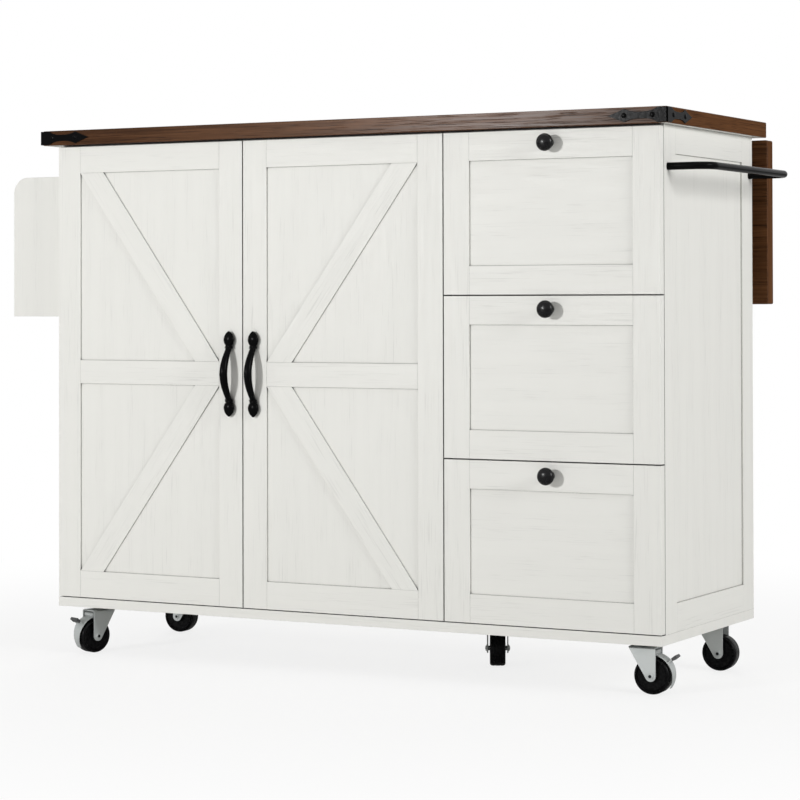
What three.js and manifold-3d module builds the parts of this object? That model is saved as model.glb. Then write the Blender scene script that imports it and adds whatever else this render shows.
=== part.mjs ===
// A rolling kitchen island: two barn-style doors, three drawers, a thick worktop with iron corner
// straps, a hinged drop leaf on folding stays, a spice rack, a towel bar and five swivel casters.
// Millimetres, +Z up, doors and drawers facing -Y. While it is built, X = 0 is the outer face of the
// left side panel, Y = 0 the front edge of the side panels and Z = 0 the floor; at the end the whole
// island is moved so that its origin is the middle of its footprint on the floor.
import * as THREE from 'three';
import { mergeVertices } from 'three/addons/utils/BufferGeometryUtils.js';
import Module from 'manifold-3d';

const wasm = await Module();
wasm.setup();

// ---------------------------------------------------------------- driving dimensions

// carcass
const cabinetWidth = 1150;
const cabinetDepth = 386;
const cabinetHeight = 798; // side panels, from the base board to the worktop
const boardThickness = 16;
const backPanelThickness = 12;
const doorBayWidth = 768.5; // from the left outer face to the middle of the partition
const sideStileWidth = 47;
const sideRailWidth = 45;
const sideRecess = 3;
const stretcherWidth = 60;
const bond = 1; // how far fused hardware reaches into the board that carries it
const seat = 0.3; // gap between pieces that rest on each other

// worktop and drop leaf
const worktopThickness = 26;
const overhangLeft = 29.5;
const overhangRight = 14;
const overhangFront = 6.7; // in front of the door fronts
const overhangBack = 34;
const worktopCornerRadius = 3;
const worktopEdgeBevel = 1;
const leafReach = 280;
const leafGap = 0.9; // between the edges of worktop and leaf when the leaf is up

// door and drawer fronts
const frontThickness = 15;
const panelRecess = 3;
const frontStandoff = 1;
const frontReveal = 0.5;
const frontGap = 2;
const frontGapTop = 3.5;
const frontGapBottom = 1.5;
const frameWidth = 46.5;
const midRailWidth = 41;
const braceCut = 49; // length of a brace's mitred end along its rail

// concealed door hinges
const cupRadius = 16;
const cupDepth = 9;
const cupFlangeRadius = 19;
const cupFlangeThickness = 0.7;
const cupInset = 23;
const hingeFromDoorEnd = 95;
const hingePlateLength = 46;
const hingePlateHeight = 34;
const hingePlateThickness = 3;
const hingeArmHeight = 15;
const hingeArmThickness = 5;
const hingeArmSetback = 62;
const hingeNoseDip = 4; // how far the arm's nose stands inside the cup

// door pulls
const pullLength = 146;
const pullFootLength = 30;
const pullSpearRadius = 9.4;
const pullFootFlatness = 0.56;
const pullCollarRadius = 7.4;
const pullGripRadius = 6.8;
const pullGripTaper = 0.3;
const pullArch = 17;
const pullPostRadius = 4;
const pullPostHeight = 5.8;

// drawers
const drawerNames = ['top', 'middle', 'bottom'];
const trayWall = 12;
const trayBottomThickness = 5;
const trayBottomLift = 10;
const trayHeight = 180;
const trayBackGap = 34; // between a tray and the back panel
const trayLength = cabinetDepth - backPanelThickness - trayBackGap;
const trayLift = 22; // above the lower edge of the drawer front
const knobRadius = 14.2;
const knobRise = 2; // above the middle of the upper rail
const knobReach = 26;
const knobNeckRadius = 5.5;
const runnerGap = 12.5; // between a tray and the board beside it
const runnerHeight = 35;
const runnerSheet = 1.5;
const runnerPlay = 0.5;
const runnerSetback = 2;

// shelf behind the doors
const shelfLift = 372; // above the base board
const shelfSetback = 30;
const shelfPlay = 1;
const shelfPinRadius = 2.5;
const shelfPinReach = 8;
const shelfPinInset = 40;

// corner straps round the worktop's front corners
const strapArm = 100;
const strapHeight = 24;
const strapThickness = 2.5;
const strapShoulder = 15;
const strapWaist = 11;
const strapSpearHeight = 21;
const strapSpearAt = 71;
const strapFlare = 9; // length over which the waist opens into the shoulder or the spear
const strapScrewRadius = 4.4;
const strapScrewHeight = 1.6;
const strapFirstScrew = 23;

// towel bar on the right side
const barRadius = 6;
const barReach = 70; // from the side panel to the middle of the bar
const barBendRadius = 26;
const barDrop = 66; // below the worktop
const barInset = 15;

// spice rack on the left side
const rackReach = 114;
const rackHeight = 249;
const rackDrop = 54; // below the worktop
const rackInset = 5;
const rackBoard = 12;
const rackCornerRadius = 29;
const rackShelfLift = 12;
const rackShelfSpacing = 122;
const rackGuardHeight = 28;
const rackGuardRise = 24; // above the shelf

// butt hinges between worktop and leaf
const leafHingeNames = ['left', 'middle', 'right'];
const leafHingeInset = 150; // from the worktop's ends
const leafHingeDrop = 2.6; // pin below the underside of the worktop
const leafHingeLength = 64;
const leafHingeWing = 27;
const leafHingeSheet = 1.2;
const leafKnuckleRadius = 2.3;
const leafKnuckleLength = 20;
const leafPinRadius = 1.2;
const leafPinPlay = 0.15;
const hingePlay = 0.3;

// folding stays under the leaf
const stayInset = 70; // from the sides of the cabinet
const stayPivotBack = 18; // behind the back panel
const stayPivotDrop = 106; // below the worktop
const stayLength = 150;
const stayWidth = 11;
const staySheet = 2.5;
const stayRivetRadius = 3;
const stayRivetPlay = 0.15;
const stayRivetHead = 5;
const stayRollerRadius = 3.2;
const stayPlateHeight = 58;
const stayPlateWidth = 24;
const stayEarRadius = 6;
const stayWasherGap = 0.3;
const channelDepth = 12;
const channelWidth = 10;
const channelSheet = 1.2;
const channelPinDrop = 7.5; // pin line below the leaf
const channelOverrun = 12;
const channelSlotHeight = 5;

// casters
const casterHeight = 82.5;
const casterSideInset = 57; // swivel axes, from the sides of the cabinet
const casterFrontInset = 52; // from the faces of the doors
const casterBackInset = 62; // from the back
const casterPlate = 42;
const casterPlateThickness = 2.5;
const casterPlateCorner = 4;
const casterScrewRadius = 3;
const casterScrewHeight = 1.4;
const casterScrewInset = 6;
const raceRadius = 17;
const raceHeight = 4.5;
const raceGap = 0.4;
const kingpinRadius = 4;
const kingpinPlay = 0.3;
const kingpinHeadRadius = 7;
const kingpinHeadHeight = 3;
const forkSheet = 2.2;
const forkInnerWidth = 32;
const forkFront = 16.5; // crown ahead of the swivel axis
const forkBack = 29.5; // crown behind the swivel axis
const forkFootRadius = 8.5;
const casterTrail = 21;
const wheelRadius = 30;
const wheelWidth = 27;
const wheelSides = 24;
const wheelHubRadius = 9;
const wheelDish = 3;
const wheelRim = 6;
const wheelEdge = 3;
const axleRadius = 4;
const axlePlay = 0.15;
const axleHeadRadius = 6.5;
const axleHeadHeight = 3;
const brakePinRadius = 2.2;
const brakePinPlay = 0.3;
const brakePinBehind = 4; // behind the axle
const brakePinDrop = 6.6; // below the crown
const brakeEyeRadius = 4.2;
const brakeSheet = 1.2;
const brakeTreadGap = 3;
const brakeBandWidth = 24;
const brakeTailWidth = 9;
const brakeTailAngle = -35; // degrees above the axle's level
const brakeTaperStart = 21; // above the axle
const brakeTabAngle = 40;
const brakeTabWidth = 20;
const brakeTabLength = 8;
const brakeGripLength = 9;
const brakeGripThickness = 4.5;

// where each caster's wheel trails, in degrees from +X, seen from above
const casterHeadings = {
  front_left: 250,
  front_right: 4,
  rear_right: 4,
  rear_left: 184,
  centre: 116,
};
const brakedCasters = ['front_left', 'front_right'];

// ---------------------------------------------------------------- levels and places

const baseTop = casterHeight + boardThickness;
const carcassTop = baseTop + cabinetHeight;
const frontBack = -frontStandoff;
const frontFace = frontBack - frontThickness;
const frontTop = carcassTop - frontGapTop;
const frontBottom = baseTop + frontGapBottom;
const innerLeft = boardThickness;
const innerRight = cabinetWidth - boardThickness;
const partitionLeft = doorBayWidth - boardThickness / 2;
const partitionRight = doorBayWidth + boardThickness / 2;
const backPanelFront = cabinetDepth - backPanelThickness;
const worktopLeft = -overhangLeft;
const worktopRight = cabinetWidth + overhangRight;
const worktopFront = frontFace - overhangFront;
const worktopBack = cabinetDepth + overhangBack;
const worktopMiddle = (worktopLeft + worktopRight) / 2;

const doorWidth = (doorBayWidth - frontReveal - 1.5 * frontGap) / 2;
const doorSpans = {
  left: [frontReveal, frontReveal + doorWidth],
  right: [frontReveal + doorWidth + frontGap, frontReveal + 2 * doorWidth + frontGap],
};
const hingeHeights = [frontBottom + hingeFromDoorEnd, frontTop - hingeFromDoorEnd];
const leftCupX = doorSpans.left[0] + cupInset;
const rightCupX = doorSpans.right[1] - cupInset;

const drawerSpan = [doorBayWidth + frontGap / 2, cabinetWidth - frontReveal];
const drawerPitch = (frontTop - frontBottom + frontGap) / drawerNames.length;
const drawerTops = drawerNames.map((_, i) => frontTop - i * drawerPitch);
const runnerHeights = drawerTops.map((top) => top - drawerPitch + frontGap + trayLift + trayHeight / 2);

const shelfBottom = baseTop + shelfLift;
const shelfBack = backPanelFront - shelfPlay;

const leafPivot = { y: worktopBack, z: carcassTop - leafHingeDrop };

// ---------------------------------------------------------------- materials

const finish = (color, roughness, metalness = 0) =>
  new THREE.MeshStandardMaterial({ color, roughness, metalness });
const whitePaint = finish(0xe4e4de, 0.6);
const brownWood = finish(0x50301f, 0.5);
const blackIron = finish(0x1d1d1d, 0.55, 0.6);
const blackGloss = finish(0x101010, 0.2, 0.3);
const zinc = finish(0xb4b9bb, 0.35, 1);
const blackWheel = finish(0x111211, 0.45);
const steel = finish(0x8f9396, 0.4, 1);
const paleBoard = finish(0xd9d8d0, 0.7);

// ---------------------------------------------------------------- geometry helpers

const weldDistance = 1e-4;

/** A geometry with only positions, shared between its faces, and no face without area. */
function bare(geometry) {
  const copy = geometry.clone();
  for (const name of Object.keys(copy.attributes)) {
    if (name !== 'position') copy.deleteAttribute(name);
  }
  const welded = mergeVertices(copy, weldDistance);
  const corners = welded.index.array;
  const faces = [];
  for (let i = 0; i < corners.length; i += 3) {
    const [a, b, c] = [corners[i], corners[i + 1], corners[i + 2]];
    if (a !== b && b !== c && c !== a) faces.push(a, b, c);
  }
  welded.setIndex(faces);
  welded.clearGroups();
  return welded;
}

function solid(geometry) {
  const welded = bare(geometry);
  const vertProperties = new Float32Array(welded.attributes.position.array);
  const triVerts = new Uint32Array(welded.index.array);
  return new wasm.Manifold(new wasm.Mesh({ numProp: 3, vertProperties, triVerts }));
}

function geometryOf(manifold) {
  const { vertProperties, triVerts } = manifold.getMesh();
  const geometry = new THREE.BufferGeometry();
  geometry.setAttribute('position', new THREE.BufferAttribute(new Float32Array(vertProperties), 3));
  geometry.setIndex(new THREE.BufferAttribute(new Uint32Array(triVerts), 1));
  return geometry;
}

/** One body made of overlapping pieces. */
const join = (first, ...rest) => geometryOf(rest.reduce((sum, piece) => sum.add(solid(piece)), solid(first)));

/** A body with other pieces taken out of it. */
const cut = (body, ...tools) =>
  geometryOf(tools.reduce((left, tool) => left.subtract(solid(tool)), solid(body)));

/** The mirror image of a piece across the plane X = 0. */
function mirrorX(geometry) {
  const mirrored = bare(geometry).scale(-1, 1, 1);
  mirrored.index.array.reverse();
  return mirrored;
}

function box([x0, x1], [y0, y1], [z0, z1]) {
  const size = [x1 - x0, y1 - y0, z1 - z0].map(Math.abs);
  return new THREE.BoxGeometry(...size).translate((x0 + x1) / 2, (y0 + y1) / 2, (z0 + z1) / 2);
}

/** A round bar along X, Y or Z, centred at a point. */
function rod(axis, radius, length, [x, y, z], sides = 16) {
  const geometry = new THREE.CylinderGeometry(radius, radius, length, sides);
  if (axis === 'x') geometry.rotateZ(Math.PI / 2);
  if (axis === 'z') geometry.rotateX(Math.PI / 2);
  return geometry.translate(x, y, z);
}

const extrude = (shape, depth, curveSegments) =>
  new THREE.ExtrudeGeometry(shape, { depth, bevelEnabled: false, curveSegments });

/** A profile in the YZ plane, extruded towards +X from x0. */
function extrudeToRight(shape, x0, depth, curveSegments = 4) {
  const geometry = extrude(shape, depth, curveSegments);
  return geometry.rotateZ(Math.PI / 2).rotateY(Math.PI / 2).translate(x0, 0, 0);
}

/** A profile in the XZ plane, extruded towards -Y from y0. */
function extrudeToFront(shape, y0, depth, curveSegments = 4) {
  return extrude(shape, depth, curveSegments).rotateX(Math.PI / 2).translate(0, y0, 0);
}

const polygon = (points) => new THREE.Shape(points.map(([u, v]) => new THREE.Vector2(u, v)));

/** A profile of [radius, height] points, going up its outside, turned round +Y. */
const revolve = (profile, sides) =>
  new THREE.LatheGeometry(profile.map(([radius, height]) => new THREE.Vector2(radius, height)), sides);

/** A round bar of changing radius along a flat path; normal is square to the path's plane. */
function sweep(centres, radii, normal, sides) {
  const last = centres.length - 1;
  const positions = centres.flatMap((centre, i) => {
    const before = centres[Math.max(i - 1, 0)];
    const after = centres[Math.min(i + 1, last)];
    const along = after.clone().sub(before).normalize();
    const side = new THREE.Vector3().crossVectors(along, normal);
    return Array.from({ length: sides }, (_, k) => {
      const angle = (2 * Math.PI * k) / sides;
      const across = normal.clone().multiplyScalar(Math.cos(angle));
      return across.addScaledVector(side, Math.sin(angle)).multiplyScalar(radii[i]).add(centre).toArray();
    }).flat();
  });
  const faces = [];
  for (let i = 0; i < last; i += 1) {
    for (let k = 0; k < sides; k += 1) {
      const a = i * sides + k;
      const b = i * sides + ((k + 1) % sides);
      faces.push(a, b, b + sides, a, b + sides, a + sides);
    }
  }
  for (let k = 1; k < sides - 1; k += 1) {
    faces.push(0, k + 1, k);
    faces.push(last * sides, last * sides + k, last * sides + k + 1);
  }
  const geometry = new THREE.BufferGeometry();
  geometry.setAttribute('position', new THREE.Float32BufferAttribute(positions, 3));
  return geometry.setIndex(faces);
}

const island = new THREE.Group();

function add(name, geometry, material, parent = island) {
  const mesh = new THREE.Mesh(bare(geometry), material);
  mesh.name = name;
  parent.add(mesh);
}

// ---------------------------------------------------------------- hardware on the carcass boards

/**
 * The carcass half of a concealed hinge: a plate on the board, an arm and a nose that stands in the
 * door's cup. boardFace is the board's inner face and inward is 1 or -1 in X, away from the board.
 */
function hingeArm(boardFace, inward, cupX, z) {
  const plateY = [hingeArmSetback - hingePlateLength, hingeArmSetback];
  const plateFace = boardFace + inward * hingePlateThickness;
  const noseSide = cupX + (inward * hingeArmThickness) / 2;
  const armZ = [z - hingeArmHeight / 2, z + hingeArmHeight / 2];
  const plateZ = [z - hingePlateHeight / 2, z + hingePlateHeight / 2];
  const plate = box([boardFace - inward * bond, plateFace], plateY, plateZ);
  const spine = box([boardFace, noseSide], plateY, armZ);
  const noseY = [frontBack - hingeNoseDip, hingeArmSetback];
  const nose = box([noseSide - inward * hingeArmThickness, noseSide], noseY, armZ);
  return join(plate, spine, nose);
}

/** The two pins that carry one end of the shelf. */
function shelfPins(boardFace, inward) {
  const length = shelfPinReach + bond;
  const x = boardFace + inward * (length / 2 - bond);
  const z = shelfBottom - seat - shelfPinRadius;
  const places = [shelfSetback + shelfPinInset, shelfBack - shelfPinInset];
  return places.map((y) => rod('x', shelfPinRadius, length, [x, y, z], 12));
}

/** The carcass half of a drawer runner: a channel whose open side faces the drawer. */
function runnerChannel(boardFace, inward, z) {
  const mouth = boardFace + inward * (runnerGap - runnerPlay);
  const web = boardFace + inward * runnerSheet;
  const beyond = mouth + inward * runnerGap;
  const outer = runnerHeight / 2;
  const inner = outer - runnerSheet;
  const rail = box([boardFace - inward * bond, mouth], [runnerSetback, runnerSetback + trayLength],
    [z - outer, z + outer]);
  const trough = box([web, beyond], [-trayLength, 2 * trayLength], [z - inner, z + inner]);
  return cut(rail, trough);
}

// ---------------------------------------------------------------- carcass

/** A side board with a flat border round a recessed field; outward is -1 or 1 in X. */
function sideBoard(outerFace, outward) {
  const sheet = [outerFace - outward * boardThickness, outerFace];
  const board = box(sheet, [0, cabinetDepth], [baseTop, carcassTop]);
  const field = box(
    [outerFace - outward * sideRecess, outerFace + outward * sideRecess],
    [sideStileWidth, cabinetDepth - sideStileWidth],
    [baseTop + sideRailWidth, carcassTop - sideRailWidth],
  );
  return cut(board, field);
}

function buildSides() {
  const leftArms = hingeHeights.map((z) => hingeArm(innerLeft, 1, leftCupX, z));
  add('left_side_panel', join(sideBoard(0, -1), ...leftArms, ...shelfPins(innerLeft, 1)), whitePaint);
  const rightRunners = runnerHeights.map((z) => runnerChannel(innerRight, -1, z));
  add('right_side_panel', join(sideBoard(cabinetWidth, 1), ...rightRunners), whitePaint);
}

const frontStretcher = () =>
  box([innerLeft, innerRight], [0, stretcherWidth], [carcassTop - boardThickness, carcassTop]);

/** The divider between doors and drawers, notched for the stretcher. */
function buildPartition() {
  const board = box([partitionLeft, partitionRight], [0, backPanelFront], [baseTop, carcassTop]);
  const arms = hingeHeights.map((z) => hingeArm(partitionLeft, -1, rightCupX, z));
  const runners = runnerHeights.map((z) => runnerChannel(partitionRight, 1, z));
  const hardware = [...arms, ...runners, ...shelfPins(partitionLeft, -1)];
  add('partition', join(cut(board, frontStretcher()), ...hardware), whitePaint);
}

function buildCarcass() {
  const base = box([0, cabinetWidth], [frontFace, cabinetDepth], [casterHeight, baseTop]);
  add('base_board', base, whitePaint);
  buildSides();
  buildPartition();
  add('front_stretcher', frontStretcher(), whitePaint);
  const back = box([innerLeft, innerRight], [backPanelFront, cabinetDepth], [baseTop, carcassTop]);
  add('back_panel', back, whitePaint);
  const shelf = box(
    [innerLeft + shelfPlay, partitionLeft - shelfPlay],
    [shelfSetback, shelfBack],
    [shelfBottom, shelfBottom + boardThickness],
  );
  add('shelf', shelf, whitePaint);
}

// ---------------------------------------------------------------- worktop and its corner straps

/** A thick board with rounded corners and bevelled edges, its underside at z = 0. */
function easedBoard(width, depth, thickness) {
  const inset = worktopEdgeBevel;
  const [w, d, r] = [width / 2 - inset, depth / 2 - inset, worktopCornerRadius - inset];
  const outline = new THREE.Shape();
  outline.absarc(w - r, d - r, r, 0, Math.PI / 2);
  outline.absarc(r - w, d - r, r, Math.PI / 2, Math.PI);
  outline.absarc(r - w, r - d, r, Math.PI, 1.5 * Math.PI);
  outline.absarc(w - r, r - d, r, 1.5 * Math.PI, 2 * Math.PI);
  const board = new THREE.ExtrudeGeometry(outline, {
    depth: thickness - 2 * inset,
    bevelSize: inset,
    bevelThickness: inset,
    bevelSegments: 1,
    curveSegments: 3,
  });
  return board.translate(0, 0, inset);
}

function buildWorktop() {
  const board = easedBoard(worktopRight - worktopLeft, worktopBack - worktopFront, worktopThickness);
  add('worktop', board.translate(worktopMiddle, (worktopFront + worktopBack) / 2, carcassTop), brownWood);
}

/** One arm of a strap: square at the corner, drawn in to a waist, opening to a spear, to a point. */
function strapProfile() {
  const [tall, waist, spear] = [strapHeight / 2, strapWaist / 2, strapSpearHeight / 2];
  const middle = (strapShoulder + strapSpearAt) / 2;
  const tipLength = strapArm - strapSpearAt;
  const outline = new THREE.Shape();
  outline.moveTo(-strapThickness, -tall);
  outline.lineTo(strapShoulder, -tall);
  outline.bezierCurveTo(strapShoulder + strapFlare, -waist, middle - strapFlare, -waist, middle, -waist);
  outline.bezierCurveTo(middle + strapFlare, -waist, strapSpearAt - strapFlare, -waist, strapSpearAt, -spear);
  outline.quadraticCurveTo(strapSpearAt + 0.4 * tipLength, -spear / 4, strapArm, 0);
  outline.quadraticCurveTo(strapSpearAt + 0.4 * tipLength, spear / 4, strapSpearAt, spear);
  outline.bezierCurveTo(strapSpearAt - strapFlare, waist, middle + strapFlare, waist, middle, waist);
  outline.bezierCurveTo(middle - strapFlare, waist, strapShoulder + strapFlare, waist, strapShoulder, tall);
  outline.lineTo(-strapThickness, tall);
  return outline;
}

/** A domed screw head standing on the strap's face. */
function strapScrew(along) {
  const [r, h] = [strapScrewRadius, strapScrewHeight];
  const dome = revolve([[0, -bond], [r, -bond], [r, 0], [0.65 * r, 0.75 * h], [0, h]], 12);
  return dome.rotateX(Math.PI / 2).translate(along, 0, strapThickness);
}

/** A strap folded round a right front corner; the corner's edge is the Z axis. */
function cornerStrap() {
  const arm = join(extrude(strapProfile(), strapThickness, 4), strapScrew(strapFirstScrew),
    strapScrew(strapSpearAt));
  const front = mirrorX(arm.clone().rotateX(Math.PI / 2));
  const side = arm.clone().rotateX(Math.PI / 2).rotateZ(Math.PI / 2);
  return join(front, side);
}

function buildCornerStraps() {
  const middle = carcassTop + worktopThickness / 2;
  const strap = cornerStrap();
  add('right_corner_strap', strap.clone().translate(worktopRight, worktopFront, middle), blackIron);
  add('left_corner_strap', mirrorX(strap).translate(worktopLeft, worktopFront, middle), blackIron);
}

// ---------------------------------------------------------------- door and drawer fronts

/** The field that is sunk into a front, between rails and stiles. */
const sunkField = ([x0, x1], [z0, z1]) =>
  box([x0, x1], [frontFace - panelRecess, frontFace + panelRecess], [z0, z1]);

const frontBlock = (span, rise) => box(span, [frontFace, frontBack], rise);

/** A diagonal strip from the outer end of one rail to the inner end of the middle rail. */
function brace(outer, inner, railEdge, middleEdge) {
  const cutAcross = Math.sign(inner - outer) * braceCut;
  const outline = polygon([
    [outer, railEdge], [outer + cutAcross, railEdge], [inner, middleEdge], [inner - cutAcross, middleEdge],
  ]);
  return extrudeToFront(outline, frontFace + 2 * panelRecess, 4 * panelRecess);
}

/** The door half of a concealed hinge: a flanged cup whose mouth opens to the back. */
function hingeCup(cupX, z) {
  const flange = [[0, -bond], [cupFlangeRadius, -bond], [cupFlangeRadius, cupFlangeThickness],
    [0, cupFlangeThickness]];
  const flangeDisc = revolve(flange, 24).translate(cupX, frontBack, z);
  const hollow = rod('y', cupRadius, 2 * cupDepth, [cupX, frontBack, z], 24);
  return { flangeDisc, hollow };
}

/** A door with raised stiles, three rails and two braces that meet beside the opening stile. */
function buildDoor(side, cupX) {
  const span = doorSpans[side];
  const [x0, x1] = [span[0] + frameWidth, span[1] - frameWidth];
  const [outer, inner] = side === 'left' ? [x0, x1] : [x1, x0];
  const middle = (frontBottom + frontTop) / 2;
  const [lowRail, highRail] = [frontBottom + frameWidth, frontTop - frameWidth];
  const [midLow, midHigh] = [middle - midRailWidth / 2, middle + midRailWidth / 2];
  const upper = cut(sunkField([x0, x1], [midHigh, highRail]), brace(outer, inner, highRail, midHigh));
  const lower = cut(sunkField([x0, x1], [lowRail, midLow]), brace(outer, inner, lowRail, midLow));
  const cups = hingeHeights.map((z) => hingeCup(cupX, z));
  const panel = cut(frontBlock(span, [frontBottom, frontTop]), upper, lower);
  const flanged = join(panel, ...cups.map(({ flangeDisc }) => flangeDisc));
  add(`${side}_door`, cut(flanged, ...cups.map(({ hollow }) => hollow)), whitePaint);

  const pullX = side === 'left' ? x1 + frameWidth / 2 : x0 - frameWidth / 2;
  add(`${side}_door_pull`, doorPull().translate(pullX, frontFace, middle), blackIron);
}

/** An arched pull on two feet; each foot is a collar and a spear, carried by a short post. */
function doorPull() {
  const footStart = pullLength / 2 - pullFootLength;
  const [spear, collar, length] = [pullSpearRadius, pullCollarRadius, pullFootLength];
  const arch = Array.from({ length: 11 }, (_, i) => i / 5 - 1);
  const lift = (t) => Math.cos((t * Math.PI) / 2);
  const standOff = (t) => -pullPostHeight - pullArch * lift(t);
  const centres = arch.map((t) => new THREE.Vector3(0, standOff(t), t * (footStart + bond)));
  const radii = arch.map((t) => pullGripRadius * (1 - pullGripTaper * (1 - lift(t))));
  const grip = sweep(centres, radii, new THREE.Vector3(1, 0, 0), 8);
  const profile = [
    [0, 0], [0.75 * collar, 0], [collar, 0.08 * length], [0.8 * collar, 0.16 * length],
    [0.6 * spear, 0.2 * length], [0.92 * spear, 0.28 * length], [spear, 0.38 * length],
    [0.9 * spear, 0.5 * length], [0.62 * spear, 0.68 * length], [0.38 * spear, 0.82 * length],
    [0.34 * spear, 0.93 * length], [0, length],
  ];
  const foot = revolve(profile, 10).rotateX(Math.PI / 2).scale(1, pullFootFlatness, 1);
  foot.translate(0, -pullPostHeight, footStart);
  const postLength = pullPostHeight + bond;
  const post = rod('y', pullPostRadius, postLength, [0, -postLength / 2, footStart + 0.38 * length], 8);
  const upperFoot = join(foot, post);
  return join(grip, upperFoot, upperFoot.clone().rotateY(Math.PI));
}

// ---------------------------------------------------------------- drawers

/** An open-topped tray with its bottom let in above the lower edges, and a runner bar on each side. */
function drawerTray(z0, runnerZ) {
  const [x0, x1] = [partitionRight + runnerGap, innerRight - runnerGap];
  const shell = box([x0, x1], [frontBack, trayLength], [z0, z0 + trayHeight]);
  const inside = [[x0 + trayWall, x1 - trayWall], [frontBack + trayWall, trayLength - trayWall]];
  const bottom = z0 + trayBottomLift;
  const hollow = box(...inside, [bottom + trayBottomThickness, z0 + 2 * trayHeight]);
  const below = box(...inside, [z0 - trayHeight, bottom]);
  const reach = runnerGap - runnerSheet - runnerPlay;
  const half = runnerHeight / 2 - runnerSheet - runnerPlay;
  const bar = (face, outward) => box(
    [face - outward * bond, face + outward * reach],
    [runnerSetback, trayLength - runnerSetback],
    [runnerZ - half, runnerZ + half],
  );
  return join(cut(shell, hollow, below), bar(x0, -1), bar(x1, 1));
}

/** A mushroom knob standing out to -Y. */
function drawerKnob() {
  const [r, h, n] = [knobRadius, knobReach, knobNeckRadius];
  const profile = [
    [0, 0], [1.45 * n, 0], [1.4 * n, 0.08 * h], [n, 0.18 * h], [0.95 * n, 0.4 * h],
    [0.85 * r, 0.52 * h], [r, 0.64 * h], [0.95 * r, 0.8 * h], [0.62 * r, 0.94 * h], [0, h],
  ];
  return revolve(profile, 18).rotateX(Math.PI);
}

function buildDrawer(name, top, runnerZ) {
  const rise = [top - drawerPitch + frontGap, top];
  const [x0, x1] = drawerSpan;
  const field = sunkField([x0 + frameWidth, x1 - frameWidth], [rise[0] + frameWidth, top - frameWidth]);
  add(`${name}_drawer_front`, cut(frontBlock(drawerSpan, rise), field), whitePaint);
  add(`${name}_drawer_tray`, drawerTray(rise[0] + trayLift, runnerZ), paleBoard);
  const knob = drawerKnob().translate((x0 + x1) / 2, frontFace, top - frameWidth / 2 + knobRise);
  add(`${name}_drawer_knob`, knob, blackGloss);
}

// ---------------------------------------------------------------- towel bar and spice rack

/** A round bar bent into a U that lies flat, its legs plain where they meet the side. */
function buildTowelBar() {
  const z = carcassTop - barDrop;
  const [y0, y1] = [barInset, cabinetDepth - barInset];
  const outer = cabinetWidth + barReach;
  const r = barBendRadius;
  const bend = (centreY, from) => Array.from({ length: 7 }, (_, i) => {
    const angle = THREE.MathUtils.degToRad(from + 15 * i);
    return new THREE.Vector3(outer - r + r * Math.cos(angle), centreY + r * Math.sin(angle), z);
  });
  const start = new THREE.Vector3(cabinetWidth, y0, z);
  const end = new THREE.Vector3(cabinetWidth, y1, z);
  const centres = [start, ...bend(y0 + r, -90), ...bend(y1 - r, 0), end];
  const bar = sweep(centres, centres.map(() => barRadius), new THREE.Vector3(0, 0, 1), 12);
  add('towel_bar', bar, blackIron);
}

function buildSpiceRack() {
  const top = carcassTop - rackDrop;
  const bottom = top - rackHeight;
  const arcX = rackCornerRadius - rackReach;
  const end = new THREE.Shape();
  end.moveTo(-rackReach, bottom);
  end.lineTo(0, bottom);
  end.lineTo(0, top);
  end.lineTo(arcX, top);
  end.absarc(arcX, top - rackCornerRadius, rackCornerRadius, Math.PI / 2, Math.PI);
  const inner = [rackInset + rackBoard, cabinetDepth - rackInset - rackBoard];
  add('rack_front_end', extrudeToFront(end, inner[0], rackBoard), whitePaint);
  add('rack_rear_end', extrudeToFront(end, inner[1] + rackBoard, rackBoard), whitePaint);
  ['lower', 'upper'].forEach((name, i) => {
    const level = bottom + rackShelfLift + i * rackShelfSpacing;
    const surface = level + rackBoard;
    add(`rack_${name}_shelf`, box([-rackReach, 0], inner, [level, surface]), whitePaint);
    const guardZ = [surface + rackGuardRise, surface + rackGuardRise + rackGuardHeight];
    add(`rack_${name}_guard`, box([-rackReach, rackBoard - rackReach], inner, guardZ), whitePaint);
  });
}

// ---------------------------------------------------------------- drop leaf and its hinges

/** Turns a piece, drawn where it is with the leaf up, down to where the leaf hangs. */
function hang(geometry) {
  geometry.translate(0, -leafPivot.y, -leafPivot.z);
  return geometry.rotateX(-Math.PI / 2).translate(0, leafPivot.y, leafPivot.z);
}

function buildLeaf() {
  const board = easedBoard(worktopRight - worktopLeft, leafReach, worktopThickness);
  board.translate(worktopMiddle, worktopBack + leafGap + leafReach / 2, carcassTop);
  add('drop_leaf', hang(board), brownWood);
}

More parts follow.
